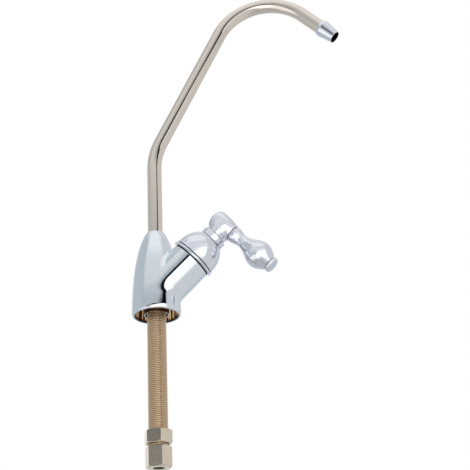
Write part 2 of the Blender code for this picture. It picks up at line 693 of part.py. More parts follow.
def open_ring(name, inner, outer, bottom, thickness, opening, frame=BASE_FRAME):
    """A flat ring with a gap on its -X side, as a clip that springs into its groove has."""
    outline = ring_outline(inner, outer, bottom, bottom + thickness)
    item = turned(name, outline, frame, hollow=True)
    width = 2 * inner * math.sin(opening / 2)
    middle = (-(inner + outer) / 2, 0, bottom + thickness / 2)
    gap = box(name + "_gap", (outer, width, thickness + 2 * OVERCUT), middle, frame)
    combine(item, gap, "DIFFERENCE")
    return item


def make_bonnet_ring():
    """Seating ring between the barrel's mouth and the dome."""
    bottom = BONNET_RING_BOTTOM
    top = bottom + BONNET_RING_THICKNESS
    return turned("bonnet_ring", rounded([
        (BONNET_RING_RADIUS, top, BONNET_RING_ROUND),
        (BONNET_RING_RADIUS, bottom, BONNET_RING_ROUND),
        (MOUTH_THREAD_RADIUS, bottom),
        (MOUTH_THREAD_RADIUS, top),
    ]), VALVE_FRAME, BODY_STEPS, hollow=True)


def make_bonnet_dome():
    """Dome nut: its thread goes down the barrel's mouth and clamps the cartridge's shoulder."""
    centre = DOME_BOTTOM + DOME_SHOULDER
    top_angle = math.asin((DOME_TOP - centre) / DOME_HEIGHT)
    arc = []
    for step in range(DOME_ARC_STEPS + 1):
        angle = top_angle * (1 - step / DOME_ARC_STEPS)
        arc.append((DOME_RADIUS * math.cos(angle), centre + DOME_HEIGHT * math.sin(angle)))
    cavity_radius = BONNET_THREAD_RADIUS - BONNET_THREAD_WALL
    ceiling = DOME_TOP - DOME_TOP_WALL
    clamp = SHOULDER_TOP + SEAT_GAP
    outline = arc + rounded([
        (DOME_RADIUS, DOME_BOTTOM + DOME_LIP),
        (DOME_LIP_RADIUS, DOME_BOTTOM + DOME_LIP, DOME_LIP_ROUND),
        (DOME_LIP_RADIUS, DOME_BOTTOM, DOME_LIP_ROUND),
        (BONNET_THREAD_RADIUS, DOME_BOTTOM),
        (BONNET_THREAD_RADIUS, clamp),
        (cavity_radius, clamp),
        (cavity_radius, centre),
        (cavity_radius - DOME_CAVITY_TAPER, ceiling),
        (STEM_BORE_RADIUS, ceiling),
        (STEM_BORE_RADIUS, DOME_TOP),
    ])
    return turned("bonnet_dome", outline, VALVE_FRAME, BODY_STEPS, hollow=True)


def make_cartridge_housing():
    """Brass cartridge: disc chamber with two side windows, clamping shoulder, stem neck."""
    groove_bottom = CARTRIDGE_GROOVE_TOP - O_RING_GROOVE_WIDTH
    groove_radius = CARTRIDGE_RADIUS - CARTRIDGE_GROOVE_DEPTH
    housing = turned("cartridge_housing", [
        (CARTRIDGE_NECK_RADIUS - EDGE_CHAMFER, CARTRIDGE_TOP),
        (CARTRIDGE_NECK_RADIUS, CARTRIDGE_TOP - EDGE_CHAMFER),
        (CARTRIDGE_NECK_RADIUS, SHOULDER_TOP),
        (BONNET_THREAD_RADIUS, SHOULDER_TOP),
        (BONNET_THREAD_RADIUS, SHOULDER_BOTTOM),
        (CARTRIDGE_RADIUS, SHOULDER_BOTTOM),
        (CARTRIDGE_RADIUS, CARTRIDGE_GROOVE_TOP),
        (groove_radius, CARTRIDGE_GROOVE_TOP),
        (groove_radius, groove_bottom),
        (CARTRIDGE_RADIUS, groove_bottom),
        (CARTRIDGE_RADIUS, FIXED_DISC_BOTTOM),
        (CARTRIDGE_CHAMBER_RADIUS, FIXED_DISC_BOTTOM),
        (CARTRIDGE_CHAMBER_RADIUS, CHAMBER_CEILING),
        (STEM_BORE_RADIUS, CHAMBER_CEILING),
        (STEM_BORE_RADIUS, CARTRIDGE_TOP),
    ], VALVE_FRAME, hollow=True)
    window_length = 2 * (CARTRIDGE_RADIUS + OVERCUT)
    window_size = (window_length, WINDOW_WIDTH, DISC_THICKNESS - 2 * SEAT_GAP)
    window_centre = (0, 0, MOVING_DISC_BOTTOM + DISC_THICKNESS / 2)
    combine(housing, box("cartridge_windows", window_size, window_centre, VALVE_FRAME), "DIFFERENCE")
    return housing


def make_seat_seal():
    return turned("seat_seal", ring_outline(
        PASSAGE_RADIUS + SEAT_GAP, CARTRIDGE_RADIUS, SEAL_BOTTOM, SEAL_BOTTOM + SEAT_SEAL_THICKNESS
    ), VALVE_FRAME, hollow=True)


def make_cartridge_o_ring():
    height = CARTRIDGE_GROOVE_TOP - O_RING_GROOVE_WIDTH / 2
    groove_radius = CARTRIDGE_RADIUS - CARTRIDGE_GROOVE_DEPTH
    return o_ring("cartridge_o_ring", groove_radius, CARTRIDGE_BORE_RADIUS, height, VALVE_FRAME)


def ceramic_disc(name, bottom, ports_turn):
    """A valve disc with two ports; they meet the other disc's ports after a quarter turn."""
    disc = turned(name, cylinder_outline(DISC_RADIUS, bottom, bottom + DISC_THICKNESS), VALVE_FRAME)
    for side in (1, -1):
        shift = Matrix.Translation((side * PORT_OFFSET, 0, 0))
        port_frame = VALVE_FRAME @ Matrix.Rotation(ports_turn, 4, "Z") @ shift
        port = drill(
            f"{name}_port_{side}", PORT_RADIUS, bottom - SEAT_GAP, bottom + DISC_THICKNESS + SEAT_GAP,
            port_frame, PIN_STEPS
        )
        combine(disc, port, "DIFFERENCE")
    return disc


def make_moving_disc():
    """The disc that the stem turns, with a slot across its top for the stem's tongue."""
    disc = ceramic_disc("moving_ceramic_disc", MOVING_DISC_BOTTOM, math.pi / 2)
    slot_top = MOVING_DISC_BOTTOM + DISC_THICKNESS
    slot_size = (2 * (DISC_RADIUS + OVERCUT), SLOT_WIDTH, 2 * SLOT_DEPTH)
    slot = box("disc_slot", slot_size, (0, 0, slot_top), VALVE_FRAME)
    combine(disc, slot, "DIFFERENCE")
    return disc


def make_valve_stem():
    """Stem: tongue and flange on the moving disc, O-ring and clip grooves, plain top in the hub."""
    flange_top = STEM_BOTTOM + STEM_FLANGE_THICKNESS
    groove_radius = STEM_RADIUS - STEM_GROOVE_DEPTH
    o_ring_middle = SHOULDER_TOP + STEM_GROOVE_HEIGHT
    stem = turned("valve_stem", [
        (0, STEM_TOP),
        (STEM_RADIUS - EDGE_CHAMFER, STEM_TOP),
        (STEM_RADIUS, STEM_TOP - EDGE_CHAMFER),
        (STEM_RADIUS, CLIP_BOTTOM + CLIP_THICKNESS + SEAT_GAP),
        (groove_radius, CLIP_BOTTOM + CLIP_THICKNESS + SEAT_GAP),
        (groove_radius, CLIP_BOTTOM - SEAT_GAP),
        (STEM_RADIUS, CLIP_BOTTOM - SEAT_GAP),
        (STEM_RADIUS, o_ring_middle + STEM_GROOVE_WIDTH / 2),
        (groove_radius, o_ring_middle + STEM_GROOVE_WIDTH / 2),
        (groove_radius, o_ring_middle - STEM_GROOVE_WIDTH / 2),
        (STEM_RADIUS, o_ring_middle - STEM_GROOVE_WIDTH / 2),
        (STEM_RADIUS, flange_top),
        (DISC_RADIUS, flange_top),
        (DISC_RADIUS, STEM_BOTTOM),
        (0, STEM_BOTTOM),
    ], VALVE_FRAME, RING_STEPS)
    tongue_height = SLOT_DEPTH + STEM_FLANGE_THICKNESS / 2
    tongue_size = (2 * (DISC_RADIUS - TONGUE_SETBACK), SLOT_WIDTH - 2 * RUNNING_GAP, tongue_height)
    tongue_centre = (0, 0, STEM_BOTTOM - SLOT_DEPTH + tongue_height / 2)
    combine(stem, box("stem_tongue", tongue_size, tongue_centre, VALVE_FRAME), "UNION")
    return stem


def make_stem_o_ring():
    groove_radius = STEM_RADIUS - STEM_GROOVE_DEPTH
    height = SHOULDER_TOP + STEM_GROOVE_HEIGHT
    return o_ring("stem_o_ring", groove_radius, STEM_BORE_RADIUS, height, VALVE_FRAME)


def make_stem_collar():
    """Round-edged collar that closes the dome's top under the handle."""
    return turned("stem_collar", rounded([
        (COLLAR_RADIUS, COLLAR_TOP, COLLAR_ROUND),
        (COLLAR_RADIUS, COLLAR_BOTTOM, COLLAR_BACK_ROUND),
        (STEM_BORE_RADIUS, COLLAR_BOTTOM),
        (STEM_BORE_RADIUS, COLLAR_TOP),
    ]), VALVE_FRAME, HANDLE_STEPS, hollow=True)


def hub_outline():
    """The hub's head round the lever axis: flat face, swelling cone, squarish round back."""
    outline = [(0, HUB_FACE_REACH)]
    back_start = HUB_BACK_ROUND - HUB_BACK_REACH
    for step in range(HUB_ARC_STEPS):
        share = 1 - step / HUB_ARC_STEPS
        radius = HUB_BARREL_RADIUS - (HUB_BARREL_RADIUS - HUB_FACE_RADIUS) * share ** HUB_CONE_POWER
        outline.append((radius, back_start + (HUB_FACE_REACH - back_start) * share))
    for step in range(HUB_ARC_STEPS):
        angle = math.pi / 2 * step / HUB_ARC_STEPS
        radius = HUB_BARREL_RADIUS * math.cos(angle) ** (2 / HUB_BACK_POWER)
        outline.append((radius, back_start - HUB_BACK_ROUND * math.sin(angle) ** (2 / HUB_BACK_POWER)))
    outline.append((0, -HUB_BACK_REACH))
    return outline


def make_handle_hub():
    """Hub: head along the lever, neck down to the collar, bores for the stem and the stud."""
    hub = turned("handle_hub", hub_outline(), LEVER_FRAME, HANDLE_STEPS)
    neck = turned("hub_neck", rounded([
        (0, LEVER_AXIS),
        (HUB_SHOULDER_RADIUS, LEVER_AXIS),
        (HUB_SHOULDER_RADIUS, HUB_BOTTOM + HUB_SHOULDER_HEIGHT),
        (HUB_NECK_RADIUS, HUB_BOTTOM, EDGE_CHAMFER),
        (0, HUB_BOTTOM),
    ]), VALVE_FRAME, HANDLE_STEPS, CUTTERS)
    combine(hub, neck, "UNION")
    stem_hole = drill(
        "hub_stem_hole", STEM_RADIUS + SEAT_GAP, HUB_BOTTOM - OVERCUT, STEM_TOP + SEAT_GAP, VALVE_FRAME,
        RING_STEPS
    )
    stud_hole = drill(
        "hub_stud_hole", STUD_RADIUS + SEAT_GAP, 0, HUB_FACE_REACH + OVERCUT, LEVER_FRAME, PIN_STEPS
    )
    combine(hub, stem_hole, "DIFFERENCE")
    combine(hub, stud_hole, "DIFFERENCE")
    return hub


def make_lever_stud():
    """Threaded stud: it joins the lever to the hub, and its point locks the hub on the stem."""
    start = STEM_RADIUS + SEAT_GAP
    end = LEVER_START + STUD_IN_LEVER
    return turned("lever_stud", [
        (0, end),
        (STUD_RADIUS - EDGE_CHAMFER, end),
        (STUD_RADIUS, end - EDGE_CHAMFER),
        (STUD_RADIUS, start + STUD_RADIUS / 2),
        (STUD_RADIUS / 2, start),
        (0, start),
    ], LEVER_FRAME, PIN_STEPS)


def make_lever_ring():
    bottom = LEVER_RING_START
    top = bottom + LEVER_RING_THICKNESS
    hole = STUD_RADIUS + SEAT_GAP
    return turned("lever_ring", rounded([
        (LEVER_RING_RADIUS, top, LEVER_RING_ROUND),
        (LEVER_RING_RADIUS, bottom, LEVER_RING_ROUND),
        (hole, bottom),
        (hole, top),
    ]), LEVER_FRAME, HANDLE_STEPS, hollow=True)


def lever_radius(distance):
    """Radius of the grip at a distance from its root: root, waist, bulb, end."""
    if distance < LEVER_WAIST_AT:
        share = distance / LEVER_WAIST_AT
        swell = (1 + math.cos(math.pi * share)) / 2
        return LEVER_WAIST_RADIUS + (LEVER_ROOT_RADIUS - LEVER_WAIST_RADIUS) * swell
    if distance < LEVER_BULB_AT:
        share = (distance - LEVER_WAIST_AT) / (LEVER_BULB_AT - LEVER_WAIST_AT)
        swell = (1 - math.cos(math.pi * share)) / 2
        return LEVER_WAIST_RADIUS + (LEVER_BULB_RADIUS - LEVER_WAIST_RADIUS) * swell
    share = (distance - LEVER_BULB_AT) / (LEVER_LENGTH - LEVER_BULB_AT)
    return LEVER_END_RADIUS + (LEVER_BULB_RADIUS - LEVER_END_RADIUS) * math.cos(math.pi / 2 * share)


def make_lever_grip():
    """Turned grip: slim waist, full bulb, and a hole at each end for the stud and the knob."""
    marks = [0, LEVER_WAIST_AT, LEVER_BULB_AT, LEVER_LENGTH]
    distances = [0]
    for start, end in zip(marks, marks[1:]):
        for step in range(1, LEVER_SPAN_STEPS + 1):
            distances.append(start + (end - start) * step / LEVER_SPAN_STEPS)
    grip_end = LEVER_START + LEVER_LENGTH
    knob_hole_floor = grip_end - KNOB_SPIGOT - SEAT_GAP
    hole = STUD_RADIUS + SEAT_GAP
    outline = [(0, knob_hole_floor), (hole, knob_hole_floor), (hole, grip_end)]
    outline += [(lever_radius(distance), LEVER_START + distance) for distance in reversed(distances)]
    outline += [(hole, LEVER_START), (hole, LEVER_START + STUD_IN_LEVER + SEAT_GAP)]
    outline.append((0, LEVER_START + STUD_IN_LEVER + SEAT_GAP))
    return turned("lever_grip", outline, LEVER_FRAME, HANDLE_STEPS)


def make_lever_end_knob():
    """Disc that closes the lever's end, screwed in by a short spigot."""
    top = KNOB_START + KNOB_THICKNESS
    return turned("lever_end_knob", rounded([
        (0, top),
        (KNOB_RADIUS, top, KNOB_ROUND),
        (KNOB_RADIUS, KNOB_START, KNOB_BACK_ROUND),
        (STUD_RADIUS, KNOB_START),
        (STUD_RADIUS, KNOB_START - SEAT_GAP - KNOB_SPIGOT),
        (0, KNOB_START - SEAT_GAP - KNOB_SPIGOT),
    ]), LEVER_FRAME, HANDLE_STEPS)


def ride(items, name, frame):
    """Parent moving pieces to an empty on their joint's axis."""
    axis = bpy.data.objects.new(name, None)
    axis.matrix_world = frame
    PARTS.objects.link(axis)
    bpy.context.view_layer.update()
    for item in items:
        item.parent = axis
        item.matrix_parent_inverse = axis.matrix_world.inverted()


def dress(items, material):
    for item in items:
        own = material.copy()
        own.name = item.name + "_" + material.name
        item.data.materials.clear()
        item.data.materials.append(own)


def main():
    ring_inner = O_RING_GROOVE_RADIUS + SEAT_GAP
    clip_reach = SOCKET_RADIUS + CLIP_REACH - RING_GAP
    body = make_body()
    shank = make_shank()
    nuts = [make_mounting_nut(), make_compression_nut()]
    sleeve = make_compression_sleeve()
    tube = make_spout_tube()
    tip = make_outlet_tip()
    spigot = make_spout_spigot()
    spout_rings = [
        make_spout_o_ring("spout_o_ring_lower", LOWER_GROOVE),
        make_spout_o_ring("spout_o_ring_upper", UPPER_GROOVE),
    ]
    spout_clip = open_ring(
        "spout_retaining_clip", ring_inner, clip_reach, SPOUT_CLIP_BOTTOM, CLIP_THICKNESS, CLIP_OPENING
    )
    guide_ring = open_ring(
        "spout_guide_ring", ring_inner, SOCKET_RADIUS - RING_GAP, GUIDE_RING_BOTTOM, GUIDE_RING_WIDTH,
        GUIDE_RING_OPENING
    )
    housing = make_cartridge_housing()
    seals = [make_shank_seal(), make_seat_seal(), make_cartridge_o_ring()]
    fixed_disc = ceramic_disc("fixed_ceramic_disc", FIXED_DISC_BOTTOM, 0)
    moving_disc = make_moving_disc()
    stem = make_valve_stem()
    stem_ring = make_stem_o_ring()
    stem_clip = open_ring(
        "stem_clip", STEM_RADIUS - STEM_GROOVE_DEPTH + RING_GAP, CARTRIDGE_NECK_RADIUS - SEAT_GAP,
        CLIP_BOTTOM, CLIP_THICKNESS, CLIP_OPENING, VALVE_FRAME
    )
    bonnet = [make_bonnet_ring(), make_bonnet_dome(), make_stem_collar()]
    hub = make_handle_hub()
    stud = make_lever_stud()
    lever = [make_lever_ring(), make_lever_grip(), make_lever_end_knob()]

    bpy.context.view_layer.update()
    parts = [item for item in PARTS.objects if item.type == "MESH"]
    for item in parts:
        bake(item)

    dress([body, *bonnet, hub, *lever, tip], new_material("chrome", (0.78, 0.81, 0.84), 0.08, 1))
    dress([tube], new_material("polished_nickel", (0.80, 0.78, 0.75), 0.12, 1))
    dress([shank, spigot, housing, stem, stud, sleeve], new_material("brass", (0.66, 0.55, 0.40), 0.3, 1))
    dress(nuts, new_material("nickel_plate", (0.74, 0.72, 0.68), 0.25, 1))
    dress([spout_clip, stem_clip], new_material("spring_steel", (0.55, 0.55, 0.56), 0.35, 1))
    dress([guide_ring], new_material("acetal", (0.90, 0.90, 0.86), 0.5, 0))
    dress([*seals, *spout_rings, stem_ring], new_material("rubber", (0.06, 0.06, 0.06), 0.8, 0))
    dress([fixed_disc, moving_disc], new_material("ceramic", (0.93, 0.92, 0.88), 0.3, 0))

    for item in parts:
        item.data.shade_smooth()
        item.data.set_sharp_from_angle(angle=SHARP_ANGLE)

    swivel_frame = Matrix.Translation((0, 0, BODY_HEIGHT))
    ride([tube, tip, spigot, *spout_rings, spout_clip, guide_ring], "spout_swivel_axis", swivel_frame)
    ride([moving_disc, stem, stem_ring, stem_clip, hub, stud, *lever], "handle_turn_axis", VALVE_FRAME)


main()
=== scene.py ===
# %% [markdown]
# A drinking-water faucet for a reverse osmosis filter: a chromed casting with a slanted valve, a
# lever handle, a swan-neck spout that swivels, and a threaded shank with two nuts. The packed
# model gives every piece at its real size and place. This lesson dresses it: what shows is turned
# and blended again with fine surfaces, and every piece gets a finish of its own.

import json
import math

import bmesh
import bpy
import numpy as np
from mathutils import Matrix, Vector


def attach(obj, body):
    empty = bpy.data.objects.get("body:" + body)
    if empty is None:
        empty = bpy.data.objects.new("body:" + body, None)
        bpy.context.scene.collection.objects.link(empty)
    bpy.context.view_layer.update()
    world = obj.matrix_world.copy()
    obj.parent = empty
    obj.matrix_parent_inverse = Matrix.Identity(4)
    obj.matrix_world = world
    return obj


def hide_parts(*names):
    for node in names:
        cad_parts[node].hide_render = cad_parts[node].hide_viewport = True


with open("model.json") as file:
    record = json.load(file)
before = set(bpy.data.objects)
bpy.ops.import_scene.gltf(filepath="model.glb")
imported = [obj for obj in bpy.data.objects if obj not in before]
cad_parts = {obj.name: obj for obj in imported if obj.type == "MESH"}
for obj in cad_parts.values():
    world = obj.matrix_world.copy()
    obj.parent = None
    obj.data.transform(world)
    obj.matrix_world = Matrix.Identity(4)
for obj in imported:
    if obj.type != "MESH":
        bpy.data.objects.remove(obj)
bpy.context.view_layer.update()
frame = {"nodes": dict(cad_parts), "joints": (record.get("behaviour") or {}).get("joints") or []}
nodes = frame["nodes"]
print("pieces in the model:", len(nodes))

# %% [markdown]
# The valve, the collar and the handle's hub all turn about one slanted axis, and the lever stands
# square to it. So their profiles are drawn upright, round the Z axis, and one matrix lays each of
# them in place. The joint of the handle gives the valve's axis and the middle of the barrel's mouth.

# %% Frames of the turned pieces
MM = 0.001
FULL_TURN = 2 * math.pi

joints = {joint["name"]: joint for joint in frame["joints"]}
valve_axis = Vector(joints["handle_turn"]["axis"]).normalized()
mouth_centre = Vector(joints["handle_turn"]["pos_m"])
valve_tilt = math.atan2(valve_axis.x, valve_axis.z)
LEVER_AXIS_HEIGHT = 29.1 * MM

upright = Matrix.Identity(4)
valve_frame = Matrix.Translation(mouth_centre) @ Matrix.Rotation(valve_tilt, 4, "Y")
lever_frame = (
    valve_frame
    @ Matrix.Translation((0, 0, LEVER_AXIS_HEIGHT))
    @ Matrix.Rotation(math.pi / 2, 4, "Y")
)
print("valve axis leans", round(math.degrees(valve_tilt), 1), "degrees from upright")

# %% [markdown]
# A turned piece on the real object comes off a lathe: one profile, spun round an axis. Here a
# corner of a profile is (radius, height) in millimetres, and a third number rounds it. The spin
# operator does the rest. Sharp edges stay sharp because they are marked from their angle, and
# weighted normals keep the flats between two roundings flat in the reflections.

# %% Profiles and the lathe
SHARP_ANGLE = math.radians(32)
MERGE = 0.0005 * MM
LATHE_STEPS = 128
ARC_STEPS = 6


def rounded(corners, steps=ARC_STEPS):
    """Profile points in millimetres; a corner's third number is the radius of its rounding."""
    points = []
    for place, corner in enumerate(corners):
        here = Vector(corner[:2])
        if len(corner) == 2:
            points.append(here)
            continue
        before = (Vector(corners[place - 1][:2]) - here).normalized()
        after = (Vector(corners[(place + 1) % len(corners)][:2]) - here).normalized()
        half = before.angle(after) / 2
        middle = here + (before + after).normalized() * corner[2] / math.sin(half)
        start = (here + before * corner[2] / math.tan(half) - middle).normalized()
        end = (here + after * corner[2] / math.tan(half) - middle).normalized()
        points += [middle + start.slerp(end, step / steps) * corner[2] for step in range(steps + 1)]
    return points


def arc(centre_radius, centre_height, across, along, start, end, steps):
    """Points of an elliptic arc in a profile, angles in degrees from the outward direction."""
    turns = [math.radians(start + (end - start) * step / steps) for step in range(steps + 1)]
    return [
        Vector((centre_radius + across * math.cos(turn), centre_height + along * math.sin(turn)))
        for turn in turns
    ]


def add_piece(name, shape, smooth=True):
    """Turn a bmesh into an object at the origin, smooth where its faces meet gently."""
    mesh = bpy.data.meshes.new(name)
    shape.to_mesh(mesh)
    shape.free()
    piece = bpy.data.objects.new(name, mesh)
    bpy.context.scene.collection.objects.link(piece)
    if smooth:
        mesh.shade_smooth()
        mesh.set_sharp_from_angle(angle=SHARP_ANGLE)
    return piece


def weigh_normals(piece):
    """Large faces set the direction of the shading at their corners, so flats look flat."""
    weigh = piece.modifiers.new("weighted_normals", "WEIGHTED_NORMAL")
    weigh.keep_sharp = True
    weigh.weight = 90
    return piece


def turn(name, profile, place=upright, steps=LATHE_STEPS, loop=False):
    """Spin a profile, given in millimetres, round the Z axis of a frame."""
    shape = bmesh.new()
    row = [shape.verts.new((point[0] * MM, 0, point[1] * MM)) for point in profile]
    edges = [shape.edges.new(pair) for pair in zip(row, row[1:])]
    if loop:
        edges.append(shape.edges.new((row[-1], row[0])))
    bmesh.ops.spin(
        shape, geom=row + edges, cent=(0, 0, 0), axis=(0, 0, 1), angle=FULL_TURN, steps=steps,
        use_merge=True
    )
    bmesh.ops.remove_doubles(shape, verts=shape.verts, dist=MERGE)
    bmesh.ops.recalc_face_normals(shape, faces=shape.faces)
    bmesh.ops.transform(shape, matrix=place, verts=shape.verts)
    return weigh_normals(add_piece(name, shape))


def form(name, profile, place=upright, finish=None, loop=False):
    """A turned form to join or cut with: it is shaded after that, so it carries no modifier."""
    made = turn(name, profile, place, loop=loop)
    made.modifiers.clear()
    if finish is not None:
        made.data.materials.append(finish)
    return made


print("lathe ready:", LATHE_STEPS, "steps round")

# %% [markdown]
# Each finish starts from what the real one is. The colours are sRGB hex values, as a colour picker
# gives them; one function turns them to the linear values that the renderer works with. A second
# function adds one node with its settings and links, and every pattern below is built from it.

# %% Colour and node helpers
# Places of a Mix node's colour sockets, which share their names with those for numbers.
MIX_SHARE, MIX_LOW, MIX_HIGH = 0, 6, 7
MIX_RESULT = 2


def linear(hex_colour):
    """An sRGB hex colour as linear red, green, blue and alpha."""
    shares = [int(hex_colour[place:place + 2], 16) / 255 for place in (1, 3, 5)]
    return [s / 12.92 if s <= 0.04045 else ((s + 0.055) / 1.055) ** 2.4 for s in shares] + [1]


def add_node(tree, kind, settings=None, inputs=None):
    """Add a node. An input is a value, or a (node, output) pair to link from."""
    node = tree.nodes.new(kind)
    for key, value in (settings or {}).items():
        setattr(node, key, value)
    for key, value in (inputs or {}).items():
        if isinstance(value, tuple) and isinstance(value[0], bpy.types.Node):
            tree.links.new(value[0].outputs[value[1]], node.inputs[key])
        else:
            node.inputs[key].default_value = value
    return node


def new_finish(name, colour, metallic, roughness, **sockets):
    """A material with one Principled shader; returns the material, its tree and the shader."""
    finish = bpy.data.materials.new(name)
    finish.use_nodes = True
    tree = finish.node_tree
    shader = tree.nodes["Principled BSDF"]
    shader.inputs["Base Color"].default_value = linear(colour)
    shader.inputs["Metallic"].default_value = metallic
    shader.inputs["Roughness"].default_value = roughness
    for key, value in sockets.items():
        shader.inputs[key.replace("_", " ")].default_value = value
    return finish, tree, shader


def scaled_place(tree, repeats):
    """Object coordinates, stretched along each axis: repeats per metre."""
    place = add_node(tree, "ShaderNodeTexCoord")
    return add_node(tree, "ShaderNodeMapping", None, {"Vector": (place, "Object"), "Scale": repeats})


def noise_at(tree, sizes, detail, roughness):
    """A noise on the object; sizes are those of its patches along each axis, in millimetres."""
    place = scaled_place(tree, [1 / (size * MM) for size in sizes])
    return add_node(
        tree, "ShaderNodeTexNoise", None,
        {"Vector": (place, "Vector"), "Scale": 1, "Detail": detail, "Roughness": roughness}
    )


def add_bump(tree, shader, height, distance, strength):
    """Let a pattern tilt the shading; distance is its real depth in metres."""
    bump = add_node(
        tree, "ShaderNodeBump", None,
        {"Height": height, "Distance": distance, "Strength": strength}
    )
    tree.links.new(bump.outputs["Normal"], shader.inputs["Normal"])


def vary_roughness(tree, shader, pattern, low, high):
    """Let a 0 to 1 pattern move the roughness between two values."""
    spread = add_node(
        tree, "ShaderNodeMapRange", None, {"Value": pattern, "To Min": low, "To Max": high}
    )
    tree.links.new(spread.outputs["Result"], shader.inputs["Roughness"])


def vary_colour(tree, shader, pattern, low, high):
    """Let a 0 to 1 pattern move the colour between two hex values."""
    tint = add_node(
        tree, "ShaderNodeMix", {"data_type": "RGBA"},
        {MIX_SHARE: pattern, MIX_LOW: linear(low), MIX_HIGH: linear(high)}
    )
    tree.links.new(tint.outputs[MIX_RESULT], shader.inputs["Base Color"])


print("linear value of #808080:", round(linear("#808080")[0], 3))

# %% [markdown]
# Chrome plate on a polished zinc or brass casting: a thin, hard, slightly blue mirror. Polishing by
# hand leaves the casting a trace uneven, so reflections of straight edges waver over 5 to 10 mm,
# and wiping leaves faint hazy patches. Both are kept very weak, because the plate is new.

# %% Chrome
WAVE_SIZES = (8.33,) * 3
HAZE_SIZES = (3.85,) * 3


def chrome_plate(name, colour, wave_depth):
    finish, tree, shader = new_finish(name, colour, 1, 0.05)
    wave = noise_at(tree, WAVE_SIZES, 1, 0.4)
    add_bump(tree, shader, (wave, "Fac"), wave_depth, 1)
    haze = noise_at(tree, HAZE_SIZES, 4, 0.6)
    vary_roughness(tree, shader, (haze, "Fac"), 0.03, 0.08)
    return finish


body_chrome = chrome_plate("chrome_on_casting", "#DDE4EA", 0.006 * MM)
trim_chrome = chrome_plate("chrome_on_turned_trim", "#DFE1E9", 0.002 * MM)
print("chrome's waves:", WAVE_SIZES[0], "mm long")

# %% [markdown]
# The spout is drawn tube, bent, ground along its length with a belt and polished. It keeps a warmer,
# slightly darker shine than the chrome, with faint lines along the tube, about 0.3 mm apart: a
# fourteenth of its radius. They follow the bends, so they are drawn from the place round the tube,
# which the tube's own mesh keeps as an attribute: a point on a circle of radius 1.

# %% Polished spout tube
TUBE_LINES = 14.0


def polished_tube():
    finish, tree, shader = new_finish("polished_nickel_tube", "#CFC7BD", 1, 0.1)
    round_tube = add_node(tree, "ShaderNodeAttribute", {"attribute_name": "round_tube"})
    lines = add_node(
        tree, "ShaderNodeTexNoise", None,
        {"Vector": (round_tube, "Vector"), "Scale": TUBE_LINES, "Detail": 1, "Roughness": 0.5}
    )
    vary_roughness(tree, shader, (lines, "Fac"), 0.05, 0.14)
    vary_colour(tree, shader, (lines, "Fac"), "#D3C9BE", "#E6DFD6")
    return finish


tube_polish = polished_tube()
print("finish made:", tube_polish.name)

# %% [markdown]
# The nuts are brass bar, milled or drawn to a hexagon, parted off on a lathe and nickel plated. The
# plate is satin: pale, faintly yellow, with fine rings on the chamfered ends where the tool went
# round. A wave texture makes 20 / (2 pi) rings a unit, so a scale of 1300 sets them 0.24 mm apart.

# %% Nickel plate on the nuts
RING_SCALE = 1300
SATIN_SIZES = (2.5,) * 3


def nickel_nut():
    finish, tree, shader = new_finish("nickel_on_turned_nut", "#DDD2C0", 1, 0.16)
    flat_place = scaled_place(tree, (1, 1, 0))
    rings = add_node(
        tree, "ShaderNodeTexWave",
        {"wave_type": "RINGS", "rings_direction": "SPHERICAL"},
        {"Vector": (flat_place, "Vector"), "Scale": RING_SCALE, "Distortion": 0.6, "Detail": 1}
    )
    add_bump(tree, shader, (rings, "Fac"), 0.003 * MM, 0.25)
    patches = noise_at(tree, SATIN_SIZES, 5, 0.65)
    vary_roughness(tree, shader, (patches, "Fac"), 0.08, 0.24)
    vary_colour(tree, shader, (patches, "Fac"), "#CFC2AC", "#EAE1D3")
    return finish


nut_nickel = nickel_nut()
print("finish made:", nut_nickel.name)

# %% [markdown]
# The shank is a brass tube with a rolled thread. Its plate is so thin that the brass shows warm
# through it, and the thread's roots are coloured darker and browner. The distance from the shank's
# own axis tells root from crest, so the colour follows the real thread and not a drawn one.

# %% Thinly plated thread
THREAD_PITCH = 25.4 / 24
THREAD_DEPTH = 0.5
SHANK_RADIUS = 5.55
STAIN_SIZES = (3.33, 3.33, 11.1)


def reach_from_axis(tree):
    """Distance from the upright axis through the origin, as a (node, output) pair."""
    place = add_node(tree, "ShaderNodeTexCoord")
    flat = add_node(
        tree, "ShaderNodeVectorMath", {"operation": "MULTIPLY"},
        {0: (place, "Object"), 1: (1, 1, 0)}
    )
    reach = add_node(tree, "ShaderNodeVectorMath", {"operation": "LENGTH"}, {0: (flat, "Vector")})
    return reach, "Value"


def plated_thread():
    finish, tree, shader = new_finish("thinly_plated_brass_thread", "#B9A27E", 1, 0.3)
    crest = add_node(
        tree, "ShaderNodeMapRange", None,
        {
            "Value": reach_from_axis(tree),
            "From Min": (SHANK_RADIUS - THREAD_DEPTH) * MM,
            "From Max": SHANK_RADIUS * MM,
        }
    )
    stain = noise_at(tree, STAIN_SIZES, 4, 0.6)
    plate = add_node(
        tree, "ShaderNodeMix", {"data_type": "RGBA"},
        {MIX_SHARE: (stain, "Fac"), MIX_LOW: linear("#D2B999"), MIX_HIGH: linear("#E9D7BF")}
    )
    colour = add_node(
        tree, "ShaderNodeMix", {"data_type": "RGBA"},
        {MIX_SHARE: (crest, "Result"), MIX_LOW: linear("#CDB392"), MIX_HIGH: (plate, MIX_RESULT)}
    )
    tree.links.new(colour.outputs[MIX_RESULT], shader.inputs["Base Color"])
    vary_roughness(tree, shader, (crest, "Result"), 0.45, 0.34)
    return finish


thread_plate = plated_thread()
print("thread pitch:", round(THREAD_PITCH, 3), "mm")
